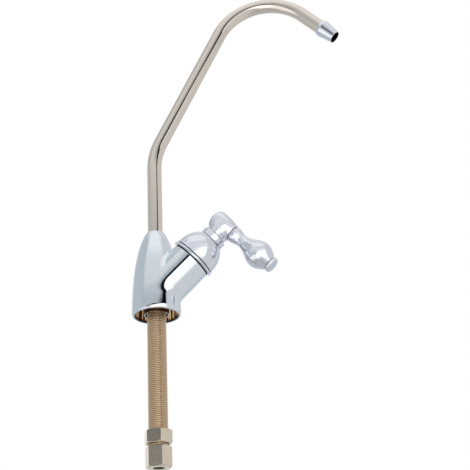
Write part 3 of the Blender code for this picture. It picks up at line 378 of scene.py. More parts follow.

# %% [markdown]
# Inside the hollow base no polishing wheel reaches, so the plate there is thin over raw metal: a
# coppery skin, rougher than the outside and partly dull, with upright streaks 1 to 2 mm wide where
# the casting was drawn off its core. Painted shade darkens the boss in the middle and the wall just
# inside the rim.

# %% Raw casting inside
GRAIN_SIZES = (1.11, 1.11, 4)
STREAK_SIZES = (1.47, 1.47, 83.3)
STREAK_EDGE = (0.42, 0.58)
# Where the painted shade lies: near the axis, and low down just inside the rim.
PAINTED_SHADE_REACH = (7.8 * MM, 9.6 * MM)
PAINTED_SHADE_RISE = (0.6 * MM, 3.0 * MM)


def mask_between(tree, value, start, end):
    """Goes smoothly from 0 at the start value to 1 at the end value, which may be the lower one."""
    return add_node(tree, "ShaderNodeMapRange", {"interpolation_type": "SMOOTHSTEP"}, {
        "Value": value, "From Min": start, "From Max": end
    })


def product(tree, masks):
    """Multiply the first outputs of several nodes."""
    shown = masks[0]
    for mask in masks[1:]:
        shown = add_node(
            tree, "ShaderNodeMath", {"operation": "MULTIPLY"}, {0: (shown, 0), 1: (mask, 0)}
        )
    return shown


def raw_casting():
    finish, tree, shader = new_finish("raw_casting_inside", "#D9A56C", 0.45, 0.4)
    grain = noise_at(tree, GRAIN_SIZES, 3, 0.6)
    add_bump(tree, shader, (grain, "Fac"), 0.01 * MM, 0.3)
    streaks = noise_at(tree, STREAK_SIZES, 1, 0.5)
    place = add_node(tree, "ShaderNodeTexCoord")
    parts = add_node(tree, "ShaderNodeSeparateXYZ", None, {"Vector": (place, "Object")})
    # The colour goes dark in the streaks, and in painted shade on the boss and just inside the rim.
    streaks_and_painted_shade = [
        mask_between(tree, (streaks, "Fac"), *STREAK_EDGE),
        mask_between(tree, reach_from_axis(tree), *PAINTED_SHADE_REACH),
        mask_between(tree, (parts, "Z"), *PAINTED_SHADE_RISE),
    ]
    vary_colour(tree, shader, (product(tree, streaks_and_painted_shade), 0), "#2E1A0E", "#F7CDA0")
    return finish


casting_inside = raw_casting()
print("finish made:", casting_inside.name)

# %% [markdown]
# The pieces inside the valve and the spout's socket are hidden until the part is taken apart:
# machined brass, spring steel, white acetal, black rubber and lapped ceramic. Each has a quiet
# pattern of its own at its real scale.

# %% Finishes of the inner pieces
def grained(name, low, high, metallic, roughness, grain_size, depth):
    """A finish whose colour and height vary with one noise; grain size in millimetres."""
    finish, tree, shader = new_finish(name, high, metallic, roughness)
    grain = noise_at(tree, (grain_size,) * 3, 3, 0.55)
    vary_colour(tree, shader, (grain, "Fac"), low, high)
    add_bump(tree, shader, (grain, "Fac"), depth, 0.5)
    return finish


machined_brass = grained("machined_brass", "#B8924E", "#DDBB74", 1, 0.24, 1.11, 0.004 * MM)
spring_steel = grained("spring_steel", "#7C7C80", "#A3A3A6", 1, 0.3, 1.43, 0.003 * MM)
white_acetal = grained("white_acetal", "#E2E0D6", "#F0EEE6", 0, 0.45, 2, 0.005 * MM)
# Black rubber for the seals. The same finish is also painted shade in the seams of the bonnet's ring.
black_rubber_and_seam_shade = grained("black_nitrile_rubber_and_seam_shade", "#151515", "#242424", 0, 0.7, 1.25, 0.01 * MM)
lapped_ceramic = grained("lapped_ceramic", "#E6E2D8", "#F4F1EA", 0, 0.25, 0.667, 0.002 * MM)
print("finishes so far:", len(bpy.data.materials))

# %% [markdown]
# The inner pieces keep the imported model's own meshes, because their shapes are already right and
# nothing shows them closely. They only change their finish. A piece that is modelled again below
# goes through dress(), which names the piece it stands for and the body it rides on.

# %% Dress the inner pieces
INNER_FINISHES = {
    "spout_spigot": machined_brass,
    "cartridge_housing": machined_brass,
    "valve_stem": machined_brass,
    "lever_stud": machined_brass,
    "compression_sleeve": machined_brass,
    "spout_retaining_clip": spring_steel,
    "stem_clip": spring_steel,
    "spout_guide_ring": white_acetal,
    "fixed_ceramic_disc": lapped_ceramic,
    "moving_ceramic_disc": lapped_ceramic,
    "spout_o_ring_lower": black_rubber_and_seam_shade,
    "spout_o_ring_upper": black_rubber_and_seam_shade,
    "stem_o_ring": black_rubber_and_seam_shade,
    "cartridge_o_ring": black_rubber_and_seam_shade,
    "seat_seal": black_rubber_and_seam_shade,
    "shank_seal": black_rubber_and_seam_shade,
}
for node_name, finish in INNER_FINISHES.items():
    node = nodes[node_name]
    node.data.materials.clear()
    node.data.materials.append(finish)
print("inner pieces dressed:", len(INNER_FINISHES))


def dress(piece, finish, slot, body, *replaced):
    """Finish a new piece and let it ride on a body. The slot is not used."""
    if finish is not None:
        piece.data.materials.clear()
        piece.data.materials.append(finish)
    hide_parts(*replaced)
    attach(piece, body)
    return piece


# %% [markdown]
# The body is one casting: a bullet-shaped column and a slanted barrel that flow into each other
# through a small fillet. A plain Boolean would leave a hard crease there, and chrome shows every
# crease. So each form is written as a distance field, the two fields are blended, and a remeshed
# union of the forms is pulled onto the blended surface. The true slope of the field then gives the
# shading, so that the reflections run as smoothly as on the real plate. The Booleans use the
# manifold solver, which makes the same mesh on every run, and a cutter runs on a little past the
# faces that it cuts, so that no two faces lie in each other.

# %% Distance fields and the blend
SLOPE_STEP = 0.02 * MM
PULLS = 6
LEAST_SLOPE_SQUARED = 0.25


def blend_fields(first, second, fillet):
    """Union of two fields whose meeting line is rounded by about the fillet's radius."""
    def field(points):
        a = first(points)
        b = second(points)
        share = np.clip(0.5 + 0.5 * (b - a) / fillet, 0, 1)
        return b + (a - b) * share - fillet * share * (1 - share)
    return field


def slope(field, points):
    """Gradient of a field at many points, by small steps each way."""
    steps = np.eye(3) * SLOPE_STEP
    return np.stack([field(points + s) - field(points - s) for s in steps], 1) / (2 * SLOPE_STEP)


def points_of(mesh):
    places = np.zeros(len(mesh.vertices) * 3)
    mesh.vertices.foreach_get("co", places)
    return places.reshape(-1, 3)


def settle(piece):
    """Replace a piece's mesh by what its modifiers make of it."""
    bpy.context.view_layer.update()
    made = piece.evaluated_get(bpy.context.evaluated_depsgraph_get())
    mesh = bpy.data.meshes.new_from_object(made)
    piece.modifiers.clear()
    piece.data = mesh
    return piece


def join(piece, other, operation):
    """Boolean with another piece, which is then removed; cut faces keep the cutter's finish."""
    step = piece.modifiers.new(operation.lower(), "BOOLEAN")
    step.operation = operation
    step.solver = "MANIFOLD"
    step.material_mode = "TRANSFER"
    step.object = other
    settle(piece)
    bpy.data.objects.remove(other, do_unlink=True)
    return piece


def pull_onto(piece, field, cell, keep):
    """Remesh a piece to even cells and pull the points that keep() picks onto the field."""
    remesh = piece.modifiers.new("even_cells", "REMESH")
    remesh.mode = "VOXEL"
    remesh.voxel_size = cell
    settle(piece)
    places = points_of(piece.data)
    moving = keep(places)
    for _ in range(PULLS):
        here = places[moving]
        away = slope(field, here)
        away /= np.maximum((away ** 2).sum(1), LEAST_SLOPE_SQUARED)[:, None]
        places[moving] = here - away * field(here)[:, None]
    piece.data.vertices.foreach_set("co", places.ravel())
    piece.data.update()
    return piece


def shade_by_field(piece, field, reach=0.02 * MM, agree=0.9):
    """Give the faces that lie on the field its exact slope as their normals."""
    mesh = piece.data
    mesh.shade_smooth()
    mesh.set_sharp_from_angle(angle=SHARP_ANGLE)
    places = points_of(mesh)
    away = slope(field, places)
    away /= np.linalg.norm(away, axis=1)[:, None]
    near = np.abs(field(places)) < reach
    normals = np.array([tuple(corner.vector) for corner in mesh.corner_normals])
    loop_points = np.zeros(len(mesh.loops), int)
    mesh.loops.foreach_get("vertex_index", loop_points)
    face_normals = np.array([tuple(face.normal) for face in mesh.polygons])
    sizes = np.array([face.loop_total for face in mesh.polygons])
    loop_faces = np.repeat(face_normals, sizes, axis=0)
    smooth = near[loop_points] & ((loop_faces * away[loop_points]).sum(1) > agree)
    normals[smooth] = away[loop_points][smooth]
    mesh.normals_split_custom_set([tuple(normal) for normal in normals])
    return piece


print("a field's slope is taken over", SLOPE_STEP / MM, "mm")

# %% [markdown]
# The column is a bullet: upright at the base, closing in towards the spout, by a power curve. The
# barrel is a plain cylinder along the valve's axis. Both are turned a little longer than they end
# up, blended, and then trimmed to length, so that the trimmed edges come out crisp.

# %% Body: outer form
BASE_RADIUS = 14.65
BODY_HEIGHT = 52.7
BULLET_TIP = 57.0
BULLET_POWER = 2.2
BARREL_RADIUS = 12.9
BARREL_ROOT = -27.9
BODY_FILLET = 1.7
SPARE = 1.5
BODY_CELL = 0.5
COLUMN_STEPS = 40
HEIGHT_STEP = 0.01
MOUTH_MARGIN = 0.3
TRIM_MARGIN = 0.7


def bullet_radius(height):
    share = np.clip(height / BULLET_TIP, 0, 0.999) ** BULLET_POWER
    return BASE_RADIUS * np.sqrt(1 - share)


def bullet_field(points):
    height = points[:, 2] / MM
    radius = bullet_radius(height)
    wider, narrower = bullet_radius(height - HEIGHT_STEP), bullet_radius(height + HEIGHT_STEP)
    lean = (narrower - wider) / (2 * HEIGHT_STEP)
    reach = np.hypot(points[:, 0], points[:, 1]) / MM
    return (reach - radius) / np.sqrt(1 + lean ** 2) * MM


def along_valve(points):
    """Height along the valve's axis from the barrel's mouth, and distance from that axis."""
    offset = points - np.array(mouth_centre)
    height = offset @ np.array(valve_axis)
    reach = np.linalg.norm(offset - height[:, None] * np.array(valve_axis), axis=1)
    return height, reach


def barrel_field(points):
    height, reach = along_valve(points)
    return np.maximum(reach - BARREL_RADIUS * MM, BARREL_ROOT * MM - height)


def kept_body(points):
    """Points that are pulled: all but those on the ends, which are trimmed off later."""
    height, reach = along_valve(points)
    short_of_mouth = (height < MOUTH_MARGIN * MM) | (reach > (BARREL_RADIUS + 1) * MM)
    above_base = points[:, 2] > -TRIM_MARGIN * MM
    return short_of_mouth & above_base & (points[:, 2] < (BODY_HEIGHT + TRIM_MARGIN) * MM)


body_field = blend_fields(bullet_field, barrel_field, BODY_FILLET * MM)
column = [(0, -SPARE), (BASE_RADIUS, -SPARE)]
for height in np.linspace(0, BODY_HEIGHT + SPARE, COLUMN_STEPS):
    column.append((float(bullet_radius(height)), float(height)))
column.append((0, BODY_HEIGHT + SPARE))
body = form("body_casting", column, finish=body_chrome)
barrel = form("barrel", [
    (0, BARREL_ROOT), (BARREL_RADIUS, BARREL_ROOT), (BARREL_RADIUS, SPARE), (0, SPARE)
], valve_frame, body_chrome)
join(body, barrel, "UNION")
pull_onto(body, body_field, BODY_CELL * MM, kept_body)
print("blended casting:", len(body.data.polygons), "faces")

# %% [markdown]
# Now the machining, first from below. The base is faced off flat and its rim rounded; the hollow
# round the boss stays as cast; the boss is faced and countersunk for the shank. Each cutter carries
# a finish, and the Boolean leaves it on the faces that it cuts: chrome outside, raw metal inside.

# %% Body: trims and the hollow base
SHANK_HOLE = 5.85
BOSS_RADIUS = 7.25
BOSS_SETBACK = 0.4
BOSS_LIP = 0.45
HOLLOW_RADIUS = 12.7
HOLLOW_DEPTH = 9.5
SHANK_SOCKET = 11.5
RIM_ROUND = 0.8
RIM_RISE = 3.0
RIM_STEPS = 24
TURNED_EDGE = 0.35


def cutter(name, profile, place=upright, finish=casting_inside, loop=False):
    """A form that leaves raw metal where it cuts, if it isn't given another finish."""
    return form(name, profile, place, finish, loop)


def outside_rounding(radius, edge, fillet, direction, rise=None, steps=8):
    """Closed profile of a ring that rounds an outer edge; direction is where the part lies."""
    rise = rise or fillet
    corner = arc(radius - fillet, edge + direction * rise, fillet, rise * -direction, 0, 90, steps)
    return corner + [
        Vector((radius - fillet, edge - direction * 0.6)),
        Vector((radius + 0.8, edge - direction * 0.6)),
        Vector((radius + 0.8, edge + direction * rise)),
    ]


base_cuts = [
    cutter("face_off", [(0, -4), (18, -4), (18, 0), (0, 0)], finish=body_chrome),
    cutter(
        "rim_round", outside_rounding(BASE_RADIUS, 0, RIM_ROUND, 1, RIM_RISE, RIM_STEPS),
        finish=body_chrome, loop=True
    ),
    cutter("hollow", rounded([
        (BOSS_RADIUS, -1),
        (HOLLOW_RADIUS + 0.75, -1),
        (HOLLOW_RADIUS + 0.75, -0.6),
        (HOLLOW_RADIUS, 0.3),
        (HOLLOW_RADIUS - 0.3, HOLLOW_DEPTH, 0.8),
        (BOSS_RADIUS + 0.2, HOLLOW_DEPTH, 0.8),
    ]), loop=True),
    cutter("boss_face", [
        (0, -1), (BOSS_RADIUS + 0.3, -1), (BOSS_RADIUS + 0.3, BOSS_SETBACK), (0, BOSS_SETBACK)
    ], finish=nut_nickel),
    cutter("boss_bore", [
        (0, 0),
        (BOSS_RADIUS - BOSS_LIP, 0),
        (BOSS_RADIUS - BOSS_LIP, 0.6),
        (SHANK_HOLE, 1.8),
        (SHANK_HOLE, SHANK_SOCKET),
        (0, SHANK_SOCKET),
    ]),
]
print("cutters for the base:", len(base_cuts))

# %% [markdown]
# The barrel is faced off at its mouth and bored in two steps: a wide one for the bonnet's thread and
# a narrower one for the cartridge. Water rises from the shank, crosses into the barrel under the
# cartridge and leaves it sideways, through the outlet passage, to the spout's socket. The socket has
# a groove for the clip that holds the spout.

# %% Body: valve and spout bores
MOUTH_BORE = 11.4
MOUTH_LEDGE = -7.7
CARTRIDGE_BORE = 9.4
CARTRIDGE_SEAT = -17.7
VALVE_CROSSING = 12.6
PASSAGE_RADIUS = 2.5
SOCKET_RADIUS = 4.8
SOCKET_FLOOR = 34.5
GROOVE_BOTTOM = 41.0
GROOVE_TOP = 42.4
GROOVE_RADIUS = 5.3

outlet_frame = Matrix.Translation((0, 0, SOCKET_FLOOR * MM)) @ Matrix.Rotation(
    math.pi / 2 + valve_tilt, 4, "Y"
)
bore_cuts = [
    cutter("mouth_face", [(0, 0), (14.2, 0), (14.2, 3), (0, 3)], valve_frame, body_chrome),
    cutter(
        "mouth_round", outside_rounding(BARREL_RADIUS, 0, TURNED_EDGE, -1), valve_frame,
        body_chrome, True
    ),
    cutter("valve_bore", [
        (0, 2), (12.2, 2), (12.2, 0.5), (MOUTH_BORE, -0.3), (MOUTH_BORE, MOUTH_LEDGE),
        (CARTRIDGE_BORE, MOUTH_LEDGE), (CARTRIDGE_BORE, CARTRIDGE_SEAT), (0, CARTRIDGE_SEAT)
    ], valve_frame),
    cutter("rising_inlet", [
        (0, 5), (PASSAGE_RADIUS, 5), (PASSAGE_RADIUS, VALVE_CROSSING), (0, VALVE_CROSSING)
    ]),
    cutter("slanted_inlet", [
        (0, -29.4), (PASSAGE_RADIUS, -29.4), (PASSAGE_RADIUS, -17), (0, -17)
    ], valve_frame),
    cutter("outlet", [(0, -1.2), (PASSAGE_RADIUS, -1.2), (PASSAGE_RADIUS, 9), (0, 9)], outlet_frame),
    cutter("top_face", [(0, BODY_HEIGHT), (9, BODY_HEIGHT), (9, 58), (0, 58)], finish=body_chrome),
    cutter("socket", [
        (0, SOCKET_FLOOR), (SOCKET_RADIUS, SOCKET_FLOOR), (SOCKET_RADIUS, BODY_HEIGHT - 0.3),
        (SOCKET_RADIUS + 0.8, BODY_HEIGHT + 0.5), (SOCKET_RADIUS + 0.8, 56), (0, 56)
    ]),
    cutter("clip_groove", [
        (0, GROOVE_BOTTOM), (GROOVE_RADIUS, GROOVE_BOTTOM), (GROOVE_RADIUS, GROOVE_TOP),
        (0, GROOVE_TOP)
    ]),
]
for cut in base_cuts + bore_cuts:
    join(body, cut, "DIFFERENCE")
shade_by_field(body, body_field)
dress(body, None, "chrome", "base", "body")
print("body casting:", len(body.data.polygons), "faces,", len(body.data.materials), "finishes")

# %% [markdown]
# The shank's thread is real geometry: a zigzag profile, spun once round while it climbs by one
# pitch, so that every crest runs into the next. The ends are then cut square and closed by their
# own end faces. It is a 24 to the inch thread, 1.06 mm from crest to crest. The bore ends below in
# a cone, which the sleeve of the water tube seats in.

# %% Threaded shank
SHANK_BOTTOM = -82.6
SHANK_TOP = 9.7
SHANK_BORE = 3.0
THREAD_STEPS = 64
THREADS_BELOW = 2
THREADS_ABOVE = 1
CREST_FLAT = 0.4
ROOT_FLAT = 0.12
SAME_POINT = 0.002
SHANK_CONE = 1.2


def threaded_shank():
    shape = bmesh.new()
    crest = SHANK_RADIUS * MM
    root = (SHANK_RADIUS - THREAD_DEPTH) * MM
    pitch = THREAD_PITCH * MM
    flank = (THREAD_PITCH - CREST_FLAT - ROOT_FLAT) / 2 * MM
    outline = [
        (crest, 0), (crest, CREST_FLAT * MM), (root, CREST_FLAT * MM + flank), (root, pitch - flank)
    ]
    start = (SHANK_BOTTOM - THREADS_BELOW * THREAD_PITCH) * MM
    count = math.ceil((SHANK_TOP - SHANK_BOTTOM) / THREAD_PITCH) + THREADS_BELOW + THREADS_ABOVE
    row = []
    for thread in range(count):
        low = start + thread * pitch
        for reach, rise in outline:
            row.append(shape.verts.new((reach, 0, low + rise)))
    row.append(shape.verts.new((crest, 0, start + count * pitch)))
    edges = [shape.edges.new(pair) for pair in zip(row, row[1:])]
    bmesh.ops.spin(
        shape, geom=row + edges, cent=(0, 0, 0), axis=(0, 0, 1), dvec=(0, 0, pitch / THREAD_STEPS),
        angle=FULL_TURN, steps=THREAD_STEPS, use_merge=False
    )
    bmesh.ops.remove_doubles(shape, verts=shape.verts, dist=SAME_POINT * MM)
    for height, side in ((SHANK_BOTTOM, -1), (SHANK_TOP, 1)):
        bmesh.ops.bisect_plane(
            shape, geom=shape.verts[:] + shape.edges[:] + shape.faces[:], dist=MERGE,
            plane_co=(0, 0, height * MM), plane_no=(0, 0, side), clear_outer=True
        )
    bmesh.ops.holes_fill(shape, edges=[edge for edge in shape.edges if edge.is_boundary])
    bmesh.ops.recalc_face_normals(shape, faces=shape.faces)
    return add_piece("threaded_shank", shape)


shank = threaded_shank()
bore = form("shank_bore", [
    (0, SHANK_BOTTOM - 1), (SHANK_BORE + SHANK_CONE, SHANK_BOTTOM - 1),
    (SHANK_BORE + SHANK_CONE, SHANK_BOTTOM), (SHANK_BORE, SHANK_BOTTOM + SHANK_CONE),
    (SHANK_BORE, SHANK_TOP + 1), (0, SHANK_TOP + 1)
], finish=thread_plate)
shank.data.materials.append(thread_plate)
join(shank, bore, "DIFFERENCE")
shank.data.shade_smooth()
shank.data.set_sharp_from_angle(angle=SHARP_ANGLE)
dress(shank, thread_plate, "thread_brass", "base", "shank")
print("threaded shank:", len(shank.data.polygons), "faces")

# %% [markdown]
# A hexagon nut is a hexagonal bar whose ends a lathe has chamfered, which leaves the arcs where the
# cone meets each flat. So the bar is cut by a turned shape, a chamfered hole goes through, and the
# edges are softened by a fifth of a millimetre, so that each catches a line of light.

# %% Hexagon nuts
NUT_CHAMFER = math.tan(math.radians(30))
CHAMFER_SETBACK = 0.3
EDGE_SOFTENING = 0.22
SOFTENED_ANGLE = math.radians(25)


def hexagon_nut(name, flats, bottom, top, turned_by, holes):
    """A nut from its width across flats; holes is the profile of what is bored out."""
    corner = flats / 2 / math.cos(math.pi / 6)
    shape = bmesh.new()
    bmesh.ops.create_cone(
        shape, cap_ends=True, segments=6, radius1=corner * MM, radius2=corner * MM,
        depth=(top - bottom + 1) * MM
    )
    spun = Matrix.Rotation(math.radians(turned_by) - math.pi / 6, 4, "Z")
    bmesh.ops.transform(shape, matrix=spun, verts=shape.verts)
    bmesh.ops.translate(shape, vec=(0, 0, (top + bottom) / 2 * MM), verts=shape.verts)
    nut = add_piece(name, shape)
    face = flats / 2 - CHAMFER_SETBACK
    drop = (corner + 0.5 - face) * NUT_CHAMFER
    chamfer = form(name + "_chamfer", [
        (0, bottom), (face, bottom), (corner + 0.5, bottom + drop),
        (corner + 0.5, top - drop), (face, top), (0, top)
    ])
    join(nut, chamfer, "INTERSECT")
    join(nut, form(name + "_bore", holes), "DIFFERENCE")
    soften = nut.modifiers.new("softened_edges", "BEVEL")
    soften.width = EDGE_SOFTENING * MM
    soften.segments = 3
    soften.limit_method = "ANGLE"
    soften.angle_limit = SOFTENED_ANGLE
    soften.use_clamp_overlap = True
    settle(nut)
    nut.data.shade_smooth()
    nut.data.set_sharp_from_angle(angle=SHARP_ANGLE)
    return weigh_normals(nut)


MOUNTING_NUT = {"flats": 14.3, "bottom": -75.8, "top": -67.9, "turned_by": -7.9}
TUBE_NUT = {"flats": 13.3, "bottom": -89.0, "top": -77.0, "turned_by": -3.3}
TUBE_HOLE = 3.325
mounting_nut = hexagon_nut("mounting_hexagon_nut", **MOUNTING_NUT, holes=[
    (0, -77), (SHANK_HOLE + 0.8, -77), (SHANK_HOLE + 0.8, -76.1), (SHANK_HOLE, -75.3),
    (SHANK_HOLE, -68.4), (SHANK_HOLE + 0.8, -67.6), (SHANK_HOLE + 0.8, -67), (0, -67)
])
dress(mounting_nut, nut_nickel, "nut_nickel", "clamping_nut", "mounting_nut")
tube_nut = hexagon_nut("tube_hexagon_nut", **TUBE_NUT, holes=[
    (0, -90), (TUBE_HOLE + 0.75, -90), (TUBE_HOLE + 0.75, -89.4), (TUBE_HOLE, -88.6),
    (TUBE_HOLE, -86.2), (SHANK_HOLE, -86.2), (SHANK_HOLE, -77.4), (SHANK_HOLE + 0.8, -76.6),
    (SHANK_HOLE + 0.8, -76), (0, -76)
])
dress(tube_nut, nut_nickel, "nut_nickel", "base", "compression_nut")
print("nuts:", len(mounting_nut.data.polygons) + len(tube_nut.data.polygons), "faces")

# %% [markdown]
# The spout is one tube: straight up out of the body, a bend into the lean, then the swan neck. A
# ring of points is extruded along each straight and spun round the centre of each bend, which is
# just what the bending machine does. Solidify gives the ring of faces its wall.

# %% Spout tube
SPOUT_RADIUS = 4.55
SPOUT_WALL = 0.9
SPOUT_START = BODY_HEIGHT - 6.2
LEAN = math.radians(27.8)
OUTLET_TURN = math.radians(108.9)
LEAN_CORNER_HEIGHT = 107.9
LEAN_LENGTH = 144.9
OUTLET_LENGTH = 64.8
LEAN_BEND = 40.0
OUTLET_BEND = 34.5
TIP_SOCKET = 3.1
RING_POINTS = 64
BEND_STEP = math.radians(1.5)
RISER_SHARES = (0.03, 0.94, 0.03)


def heading(tilt):
    return Vector((math.sin(tilt), 0, math.cos(tilt)))


def go_straight(shape, ring, direction, length):
    """Extrude a ring of edges along a direction; returns the new ring."""
    made = bmesh.ops.extrude_edge_only(shape, edges=ring)["geom"]
    bmesh.ops.translate(
        shape, vec=direction * length * MM,
        verts=[item for item in made if isinstance(item, bmesh.types.BMVert)]
    )
    return [item for item in made if isinstance(item, bmesh.types.BMEdge)]


def go_round(shape, ring, centre, angle):
    """Spin a ring of edges about a bend's centre; returns the last ring."""
    made = bmesh.ops.spin(
        shape, geom=ring, cent=centre * MM, axis=(0, 1, 0), angle=angle,
        steps=math.ceil(abs(angle) / BEND_STEP)
    )["geom_last"]
    return [item for item in made if isinstance(item, bmesh.types.BMEdge)]


def spout_shape():
    lean_corner = Vector((0, 0, LEAN_CORNER_HEIGHT))
    lean_tangent = LEAN_BEND * math.tan(LEAN / 2)
    outlet_tangent = OUTLET_BEND * math.tan(OUTLET_TURN / 2)
    outlet_corner = lean_corner + heading(LEAN) * LEAN_LENGTH
    lean_start = lean_corner - heading(0) * lean_tangent
    outlet_start = outlet_corner - heading(LEAN) * outlet_tangent
    outlet_tilt = LEAN + OUTLET_TURN
    shape = bmesh.new()
    bmesh.ops.create_circle(shape, segments=RING_POINTS, radius=(SPOUT_RADIUS - SPOUT_WALL) * MM)
    round_tube = shape.verts.layers.float_vector.new("round_tube")
    for vertex in shape.verts:
        vertex[round_tube] = vertex.co.normalized()
    bmesh.ops.translate(shape, vec=(0, 0, SPOUT_START * MM), verts=shape.verts)
    ring = shape.edges[:]
    for share in RISER_SHARES:
        ring = go_straight(shape, ring, heading(0), (lean_start.z - SPOUT_START) * share)
    ring = go_round(shape, ring, lean_start + heading(math.pi / 2) * LEAN_BEND, LEAN)
    for share in RISER_SHARES:
        lean_run = LEAN_LENGTH - lean_tangent - outlet_tangent
        ring = go_straight(shape, ring, heading(LEAN), lean_run * share)
    ring = go_round(
        shape, ring, outlet_start + heading(LEAN + math.pi / 2) * OUTLET_BEND, OUTLET_TURN
    )
    go_straight(shape, ring, heading(outlet_tilt), OUTLET_LENGTH - outlet_tangent + TIP_SOCKET)
    bmesh.ops.recalc_face_normals(shape, faces=shape.faces)
    tip_start = outlet_corner + heading(outlet_tilt) * OUTLET_LENGTH
    return shape, tip_start, outlet_tilt


tube_shape, tip_start, outlet_tilt = spout_shape()
spout = add_piece("spout_swan_neck", tube_shape)
wall = spout.modifiers.new("wall", "SOLIDIFY")
wall.thickness = SPOUT_WALL * MM
wall.offset = 1
settle(spout)
spout.data.set_sharp_from_angle(angle=SHARP_ANGLE)
dress(spout, tube_polish, "spout_nickel", "spout", "spout_tube")
print("spout tube reaches", round(max(v.co.z for v in spout.data.vertices) / MM, 1), "mm up")

# %% [markdown]
# The outlet tip is a small turned ferrule: a short bell that covers the tube's end, then a long
# cone to a thin lip round the mouth. It sits at the end of the tube's last straight.

# %% Outlet tip
tip_frame = Matrix.Translation(tip_start * MM) @ Matrix.Rotation(outlet_tilt, 4, "Y")
tip = turn("outlet_ferrule", rounded([
    (4.85, 0),
    (5.3, 0, 0.15),
    (5.65, 1.9, 0.9),
    (4.05, 12.2, 0.18),
    (3.65, 12.2, 0.15),
    (3.65, 3.4),
    (4.85, 3.4),
]), tip_frame, loop=True)
dress(tip, trim_chrome, "chrome", "spout", "outlet_tip")
print("outlet points", round(math.degrees(outlet_tilt), 1), "degrees away from straight up")

# %% [markdown]
# The bonnet over the valve: a round-edged seating ring, then the dome nut with a thin lip at its
# foot and an elliptic crown, then the collar. Heights run along the valve's axis from the barrel's
# mouth. The dark line on each side of the ring is painted shade: the ring steps in to a smaller
# radius there, and the faces inside it are painted black with the rubber finish.

# %% Bonnet ring, dome and collar
BLACK_SEAM_RADIUS = 12.6
ring_piece = turn("bonnet_seating_ring", rounded([
    (11.4, 0.02),
    (BLACK_SEAM_RADIUS, 0.02),
    (BLACK_SEAM_RADIUS, 0.6),
    (14.4, 0.6, 0.8),
    (14.4, 2.3, 0.75),
    (BLACK_SEAM_RADIUS, 2.3),
    (BLACK_SEAM_RADIUS, 2.68),
    (11.4, 2.68),
]), valve_frame, loop=True)
ring_piece.data.materials.append(trim_chrome)
ring_piece.data.materials.append(black_rubber_and_seam_shade)
# Faces inside the seam radius get the black rubber finish: painted shade in the ring's seams.
middles = np.array([tuple(face.center) for face in ring_piece.data.polygons])
for face, reach in zip(ring_piece.data.polygons, along_valve(middles)[1]):
    face.material_index = int(reach < (BLACK_SEAM_RADIUS + 0.1) * MM)
dress(ring_piece, None, "chrome", "base", "bonnet_ring")

DOME_CENTRE = 4.6
DOME_RADIUS = 13.6
DOME_HEIGHT = 15.3
DOME_TOP = 16.8
crown_start = math.degrees(math.asin((DOME_TOP - DOME_CENTRE) / DOME_HEIGHT))
dome_profile = rounded([
    (3.3, 13.2),
    (6.3, 13.2),
    (9.5, DOME_CENTRE),
    (9.5, -5.0),
    (11.1, -5.0),
    (11.1, 2.7),
    (14.0, 2.7, 0.35),
    (14.0, 3.8, 0.45),
    (13.65, 3.9),
])
dome_profile += arc(0, DOME_CENTRE, DOME_RADIUS, DOME_HEIGHT, 0, crown_start, 40)
dome_profile.append(Vector((3.3, DOME_TOP)))
dome = turn("bonnet_dome_nut", dome_profile, valve_frame, loop=True)
dress(dome, trim_chrome, "chrome", "base", "bonnet_dome")

collar = turn("handle_collar", rounded([
    (3.3, 17.1),
    (7.9, 17.1, 0.4),
    (7.9, 21.0, 0.6),
    (3.3, 21.0),
]), valve_frame, loop=True)
dress(collar, trim_chrome, "chrome", "base", "stem_collar")
print("dome rises to", DOME_TOP, "mm over the barrel's mouth")

# %% [markdown]
# The hub is the handle's knuckle: a head that points along the lever, with a squarish round back,
# on a short neck that sits over the stem. It is cast and polished like the body, so it is blended
# in the same way, with finer cells because it is smaller.

# %% Handle hub
HUB_BARREL = 6.8
HUB_BACK_START = -5.0
HUB_BACK_ROUND = 4.3
HUB_BACK_POWER = 2.6
HUB_FACE = 7.0
HUB_FACE_RADIUS = 5.0
HUB_CONE_POWER = 2.2
HUB_BOTTOM = 21.3
HUB_FILLET = 1.2
HUB_CELL = 0.25
HUB_MARGIN = 0.4
NECK_RADIUS = 6.4
NECK_FLARE = 0.5
NECK_RISE = 3


def head_radius(height):
    """Radius of the head at a place along the lever's axis."""
    cone = np.clip((height - HUB_BACK_START) / (HUB_FACE - HUB_BACK_START), 0, 1.2)
    front = HUB_BARREL - (HUB_BARREL - HUB_FACE_RADIUS) * cone ** HUB_CONE_POWER
    drop = np.clip((HUB_BACK_START - height) / HUB_BACK_ROUND, 0, 0.9999)
    back = HUB_BARREL * (1 - drop ** HUB_BACK_POWER) ** (1 / HUB_BACK_POWER)
    return np.where(height > HUB_BACK_START, front, back)


def head_field(points):
    """Distance to the head; its round back is a power curve in both directions."""
    local = (points - np.array(lever_frame.translation)) @ np.array(lever_frame.to_3x3())
    height = local[:, 2] / MM
    reach = np.hypot(local[:, 0], local[:, 1]) / MM
    front = reach - head_radius(np.maximum(height, HUB_BACK_START))
    drop = np.maximum(HUB_BACK_START - height, 0) / HUB_BACK_ROUND
    size = ((reach / HUB_BARREL) ** HUB_BACK_POWER + drop ** HUB_BACK_POWER) ** (1 / HUB_BACK_POWER)
    return np.where(height > HUB_BACK_START, front, (size - 1) * HUB_BACK_ROUND) * MM


def neck_field(points):
    """Distance to the neck: a cone that widens from the collar up to its shoulder."""
    height, reach = along_valve(points)
    rise = np.clip((height / MM - HUB_BOTTOM) / NECK_RISE, 0, 1)
    sides = reach - (NECK_RADIUS + NECK_FLARE * rise) * MM
    return np.maximum(sides, height - LEVER_AXIS_HEIGHT)


def kept_hub(points):
    """Points that are pulled: all but those beyond the two faces."""
    local = (points - np.array(lever_frame.translation)) @ np.array(lever_frame.to_3x3())
    height, _ = along_valve(points)
    above = height > (HUB_BOTTOM - HUB_MARGIN) * MM
    return above & (local[:, 2] < (HUB_FACE + HUB_MARGIN) * MM)


